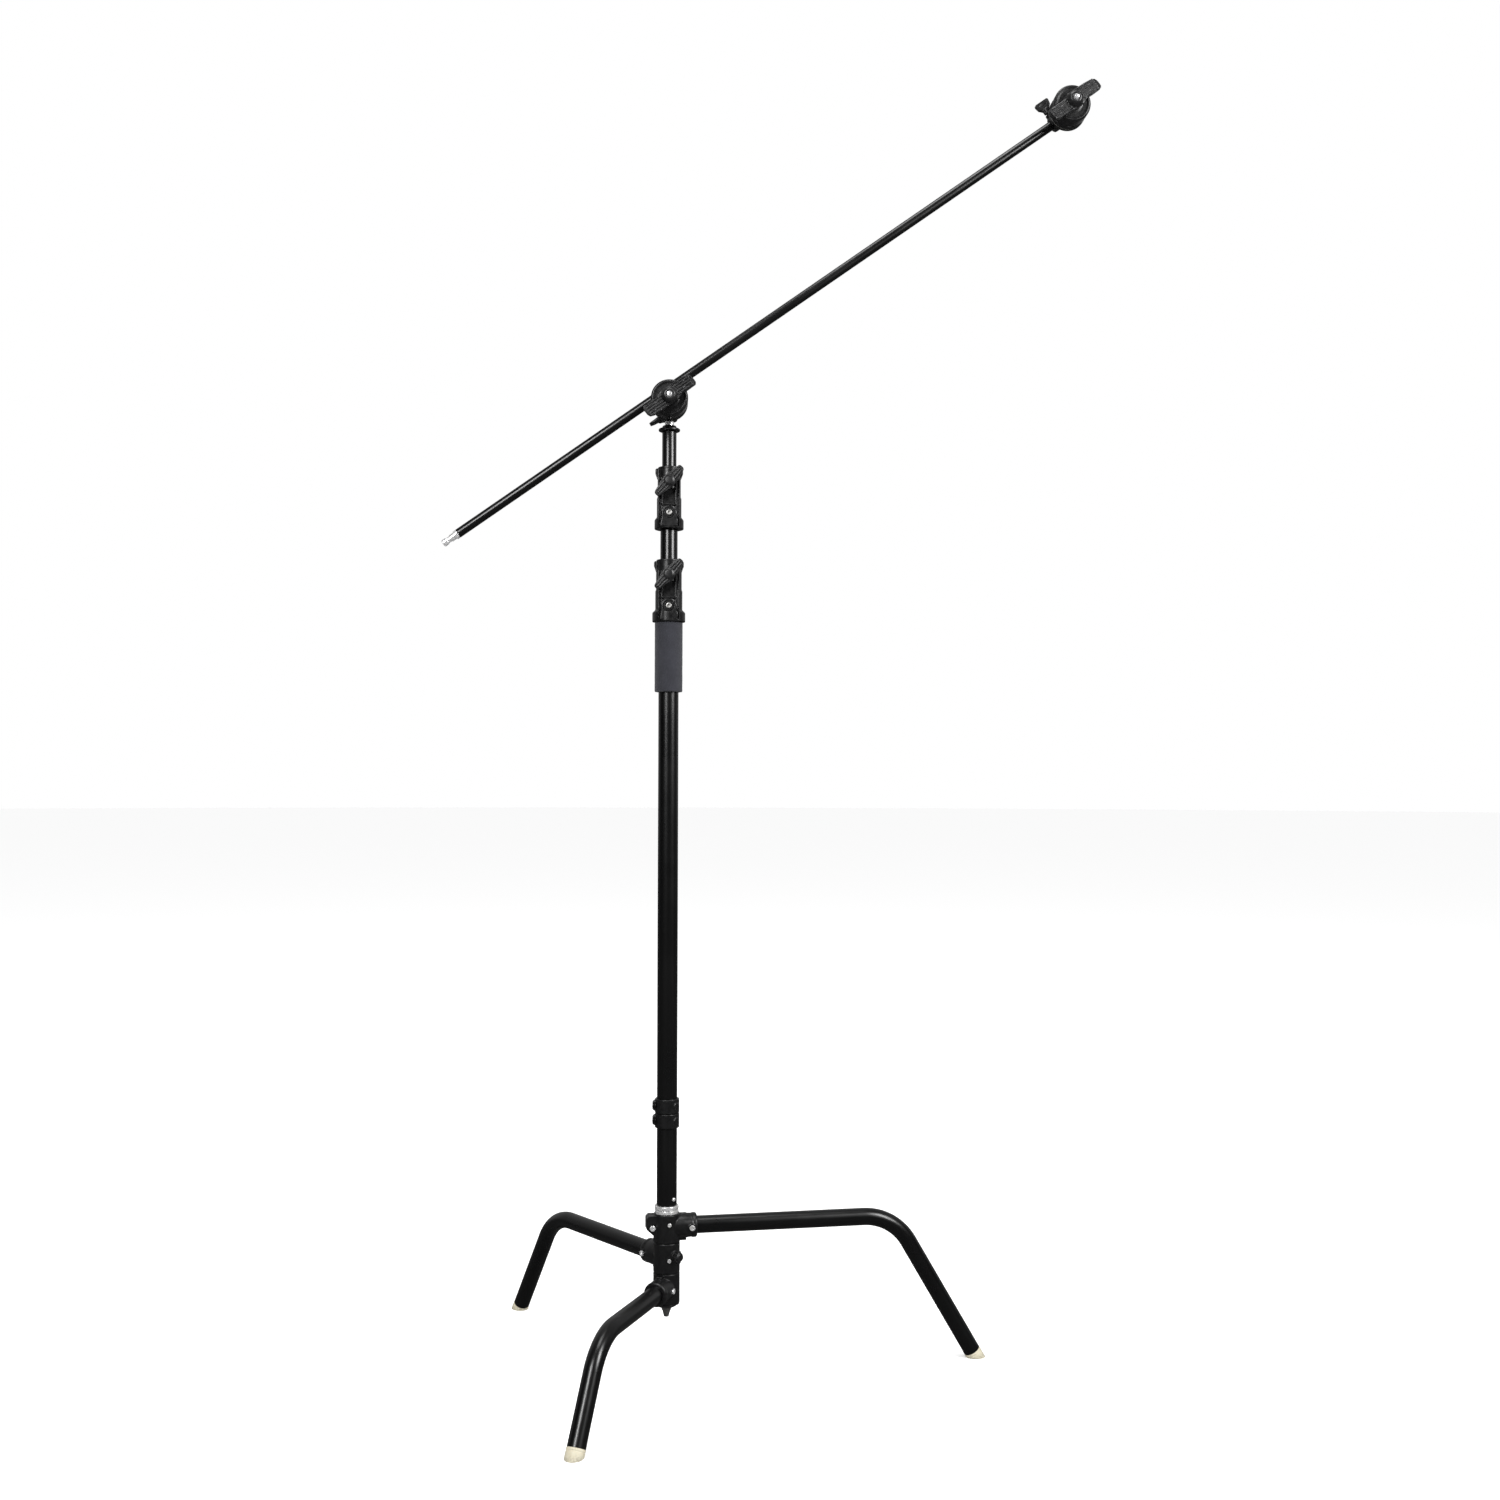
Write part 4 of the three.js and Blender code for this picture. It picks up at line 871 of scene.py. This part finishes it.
def jaw(back, front, outer):
    """A jaw plate with two half-round grooves. The outer one has a dished face inside a raised rim."""
    edge = 2.6
    if outer:
        profile = [(0, back), (PLATE_R - 0.8, back), (PLATE_R, back + 0.8), (PLATE_R, front - edge),
                   (PLATE_R - edge, front), (PLATE_R - 5.2, front), (PLATE_R - 6.4, front - 1.1),
                   (17, front - 1.1),
                   (15.5, front), (0, front)]
    else:
        profile = [(0, back), (PLATE_R - 0.6, back), (PLATE_R, back + 0.6), (PLATE_R, back + 3),
                   (PLATE_R - 1, back + 4),
                   (PLATE_R - 1, front - 4), (PLATE_R, front - 3), (PLATE_R, front - 0.8),
                   (PLATE_R - 0.8, front),
                   (0, front)]
    plate = cast(disc(profile, 0.8), 0.55, 2)
    meet = JAW_MEET - GAP if not outer else JAW_MEET + GAP
    side = 1 if outer else -1
    # a shallow clearance beside each groove leaves proud gripping lands along it
    relief = [block(-40, 40, -(meet + side * 0.9) if side > 0 else -(meet + 1), -(meet - 1) if side > 0
                    else -(meet - 0.9), low, high) for low, high in ((-7, 6), (28.5, 40), (-40, -27.5))]
    return cut(plate, groove(STUD_R + 0.3, ARM_OFFSET), groove(HALF_INCH_R, -ARM_OFFSET),
               bolt_bore(0, BOLT_END), *relief)


def grip_handle():
    """The clamp handle: a domed boss between two arms, each leaning to its own side and hooked at the tip."""
    half = [(50, -7), (50, -2), (49.4, 5), (47, 10), (40, 12.5), (28, 14), (16, 14.4), (-6, 14.4),
            (-13, 12.6),
            (-20, 9.3), (-32, 9.6), (-45, 9.4), (-48.6, 9)]
    arms = upright(slab(half + [(-x, -z) for x, z in half], 64, 75))
    hooks = [put(upright(slab([(47.6, -7.2), (49.8, -6.4), (49.8, 0), (49.2, 4.6), (47, 9.4), (45.4, 7.6),
                               (47.2, 3.8)], 64, 76)), turn_about("Y", turn)) for turn in (0, math.pi)]
    rails = [put(upright(slab([(13, z - 0.9), (44, z * 0.92 - 0.9), (44, z * 0.92 + 0.9), (13, z + 0.9)],
                              70, 76)),
                 turn_about("Y", turn)) for z in (12.4, 7.4, 2.4, -2.6, -7.6) for turn in (0, math.pi)]
    boss = disc([(0, HANDLE_BACK), (12.4, HANDLE_BACK), (14.5, 63.4), (14.5, 75), (13.4, 78), (11.4, 81.5),
                 (8.6, HANDLE_FRONT), (0, HANDLE_FRONT)], 1.6, 96)
    body = cast(join(boss, arms, *hooks, *rails), 0.5, 4)
    seat = disc([(0, 82), (6.6, 82), (7.1, 90), (0, 90)], 0.2, 64)
    return cut(body, seat, bolt_bore(40, 95))


def head_bolt():
    head = put(bevelled(rod(8.4, 12.8, 18.6, 0.05, 6), 0.5, 2, 40), TO_FRONT)
    pitch = 0.9
    turns = int((BOLT_END - 4 - JAW_FRONT) / pitch)
    profile = [(0, 18), (BOLT_R, 18), (BOLT_R, JAW_FRONT)]
    for i in range(turns):
        z = JAW_FRONT + pitch * i
        profile += [(BOLT_R, z + 0.2), (BOLT_R - 0.5, z + 0.65)]
    profile += [(BOLT_R, BOLT_END - 3.5), (BOLT_R - 0.2, BOLT_END - 1.6), (BOLT_R - 1.1, BOLT_END),
                (0, BOLT_END)]
    return join(head, put(turned(profile, 0.1, 64, steps=1), TO_FRONT))


def build_head(number, place, wing_azimuth, jaw_turn, handle_turn):
    name, body = f"head_{number}", f"head_{number}"
    wing_axis = (math.cos(wing_azimuth), math.sin(wing_azimuth), 0)
    piece(f"{name}_receiver", head_receiver(wing_axis), place, CASTING, body)
    piece(f"{name}_wing_screw", wing_screw(), place @ pointing(wing_axis, (0, 0, WING_Z)), PLASTIC,
          f"{body}_wing")
    piece(f"{name}_bolt", head_bolt(), place, BRIGHT, body)
    ring = disc([(0, PLATE_FRONT + GAP), (PLATE_R - 1, PLATE_FRONT + GAP), (PLATE_R - 1, DISC_FRONT),
                 (0, DISC_FRONT)], 0.3)
    piece(f"{name}_friction_disc", cut(ring, bolt_bore(0, BOLT_END)), place, FIBRE, body)
    turned_jaws = place @ turn_about("Y", jaw_turn)
    piece(f"{name}_inner_jaw", jaw(DISC_FRONT + GAP, JAW_MEET - GAP, False), turned_jaws, CASTING,
          f"{body}_jaws")
    piece(f"{name}_outer_jaw", jaw(JAW_MEET + GAP, JAW_FRONT, True), turned_jaws, CASTING, f"{body}_jaws")
    washer = disc([(0, JAW_FRONT + GAP), (9.5, JAW_FRONT + GAP), (9.5, WASHER_FRONT), (0, WASHER_FRONT)],
                  0.5, 64)
    piece(f"{name}_washer", cut(washer, bolt_bore(0, BOLT_END)), place, DULL, body)
    piece(f"{name}_handle", grip_handle(), place @ turn_about("Y", handle_turn), PLASTIC, f"{body}_grip")


def arm_frame():
    foot = (-ARM_OFFSET * math.sin(ARM_SLOPE), ARM_Y, BOLT_Z + ARM_OFFSET * math.cos(ARM_SLOPE))
    return STAND @ Matrix.Translation(foot) @ turn_about("Y", -ARM_SLOPE)


def build_arm():
    along = arm_frame() @ pointing((1, 0, 0))
    inner = STUD_R - TUBE_WALL - 0.3
    piece("arm_tube", sleeve(STUD_R - TUBE_WALL, [(STUD_R, ARM_LOW_END), (STUD_R, ARM_HEAD_2 + 7)], 0.4,
                             96), along,
          PAINT, "arm")
    end = ARM_LOW_END - GAP
    stud = turned([(0, end - 30.5), (4.9, end - 30.5), (6.3, end - 29.2), (6.3, end - 22), (4.9, end - 21),
                   (4.9, end - 15), (6.3, end - 14), (6.3, end - 5.9), (6.9, end - 5.5), (STUD_R, end - 5.2),
                   (STUD_R, end), (inner, end), (inner, end + 26), (0, end + 26)], 0.35, 96)
    piece("arm_stud", stud, along, BRIGHT, "arm")


def build_heads():
    build_head(1, STAND @ Matrix.Translation((0, 0, BOLT_Z)), 127 * DEG, -ARM_SLOPE, -ARM_SLOPE)
    to_arm = math.pi / 2 - ARM_SLOPE
    place = arm_frame() @ Matrix.Translation((ARM_HEAD_2, 0, 0)) @ turn_about("Y", math.pi / 2)
    build_head(2, place, math.pi, -to_arm, -math.pi / 2)


# ---- camera and studio ----
def point_at(obj, place, target):
    direction = Vector(target) - Vector(place)
    obj.matrix_world = Matrix.Translation(place) @ direction.to_track_quat("-Z", "Y").to_matrix().to_4x4()


CAMERA_BACK, CAMERA_HEIGHT = 2.823, 1.029
CAMERA_LENS, SENSOR = 38.84, 36.0


def build_camera():
    """Level with the stand's middle, straight in front, very slightly turned, tilted and rolled."""
    data = bpy.data.cameras.new("camera")
    data.lens, data.sensor_width = CAMERA_LENS, SENSOR
    camera = bpy.data.objects.new("camera", data)
    yaw, pitch, roll = -2.891 * DEG, 1.104 * DEG, 0.145 * DEG
    place = Matrix.Translation((AXIS_X, AXIS_Y - CAMERA_BACK, CAMERA_HEIGHT))
    camera.matrix_world = (place @ turn_about("Z", yaw)
                           @ turn_about("X", math.pi / 2 + pitch) @ turn_about("Z", roll))
    bpy.context.scene.collection.objects.link(camera)
    bpy.context.scene.camera = camera


def soft_box(name, place, target, width, height, power):
    data = bpy.data.lights.new(name, "AREA")
    data.shape, data.size, data.size_y, data.energy = "RECTANGLE", width, height, power
    light = bpy.data.objects.new(name, data)
    bpy.context.scene.collection.objects.link(light)
    point_at(light, place, target)


BEHIND, IN_FRONT, AMBIENT = 0.4, 0.015, 1.13


def build_world():
    """White behind everything the camera sees, even light on matt surfaces, and a dark room in reflections,
    open to the white backdrop behind."""
    world = bpy.data.worlds.new("studio")
    bpy.context.scene.world = world
    world.use_nodes = True
    tree = world.node_tree
    tree.nodes.clear()
    path = tree.nodes.new("ShaderNodeLightPath")
    split = tree.nodes.new("ShaderNodeSeparateXYZ")
    tree.links.new(tree.nodes.new("ShaderNodeTexCoord").outputs["Generated"], split.inputs[0])
    backdrop = tree.nodes.new("ShaderNodeMapRange")
    for name, value in (("From Min", 0.0), ("From Max", 0.6), ("To Min", IN_FRONT), ("To Max", BEHIND)):
        backdrop.inputs[name].default_value = value
    tree.links.new(split.outputs["Y"], backdrop.inputs["Value"])
    surface = None
    for strength, ray in ((0, None), (AMBIENT, "Is Diffuse Ray"), (1.0, "Is Camera Ray")):
        background = tree.nodes.new("ShaderNodeBackground")
        background.inputs["Color"].default_value = (1, 1, 1, 1)
        background.inputs["Strength"].default_value = strength
        if ray is None:
            tree.links.new(backdrop.outputs[0], background.inputs["Strength"])
            surface = background.outputs[0]
            continue
        blend = tree.nodes.new("ShaderNodeMixShader")
        tree.links.new(path.outputs[ray], blend.inputs[0])
        tree.links.new(surface, blend.inputs[1])
        tree.links.new(background.outputs[0], blend.inputs[2])
        surface = blend.outputs[0]
    output = tree.nodes.new("ShaderNodeOutputWorld")
    tree.links.new(surface, output.inputs["Surface"])


def build_floor():
    bm = bmesh.new()
    bmesh.ops.create_circle(bm, cap_ends=True, segments=96, radius=60)
    floor = to_object(bm, "floor")
    m = Nodes("floor")
    path = m.tree.nodes.new("ShaderNodeLightPath")
    m.link(m.mix(path.outputs["Is Glossy Ray"], (0.93, 0.93, 0.93), (0.05, 0.05, 0.05)),
           m.shader.inputs["Base Color"])
    m.shader.inputs["Roughness"].default_value = 0.9
    m.shader.inputs["Specular IOR Level"].default_value = 0
    floor.data.materials.append(m.material)


def build_studio():
    scene = bpy.context.scene
    scene.view_settings.view_transform = "Standard"
    scene.view_settings.look = "None"
    build_world()
    build_floor()
    aim = (AXIS_X, AXIS_Y, 1.5)
    soft_box("soft_box_left", (AXIS_X - 1.7, AXIS_Y - 3.4, 3.0), aim, 1.0, 2.0, 125)
    soft_box("soft_box_right", (AXIS_X + 3.0, AXIS_Y - 2.2, 3.0), aim, 1.2, 2.0, 160)
    soft_box("top_light", (AXIS_X, AXIS_Y - 0.5, 4.6), (AXIS_X, AXIS_Y, 0), 1.6, 1.6, 45)


build_camera()
build_hub_top()
build_back_ring()
build_front_ring()
build_post()
build_legs()
build_column()
build_foam()
build_lock("lower", LOWER_LOCK_Z, MAIN_R, MIDDLE_R, (23.6, 28.7, 26.0), "column", "lower_lever")
build_lock("upper", UPPER_LOCK_Z, MIDDLE_R, TOP_R, (21.4, 25.4, 24.2), "riser_1", "upper_lever")
build_risers()
build_heads()
build_arm()
build_studio()
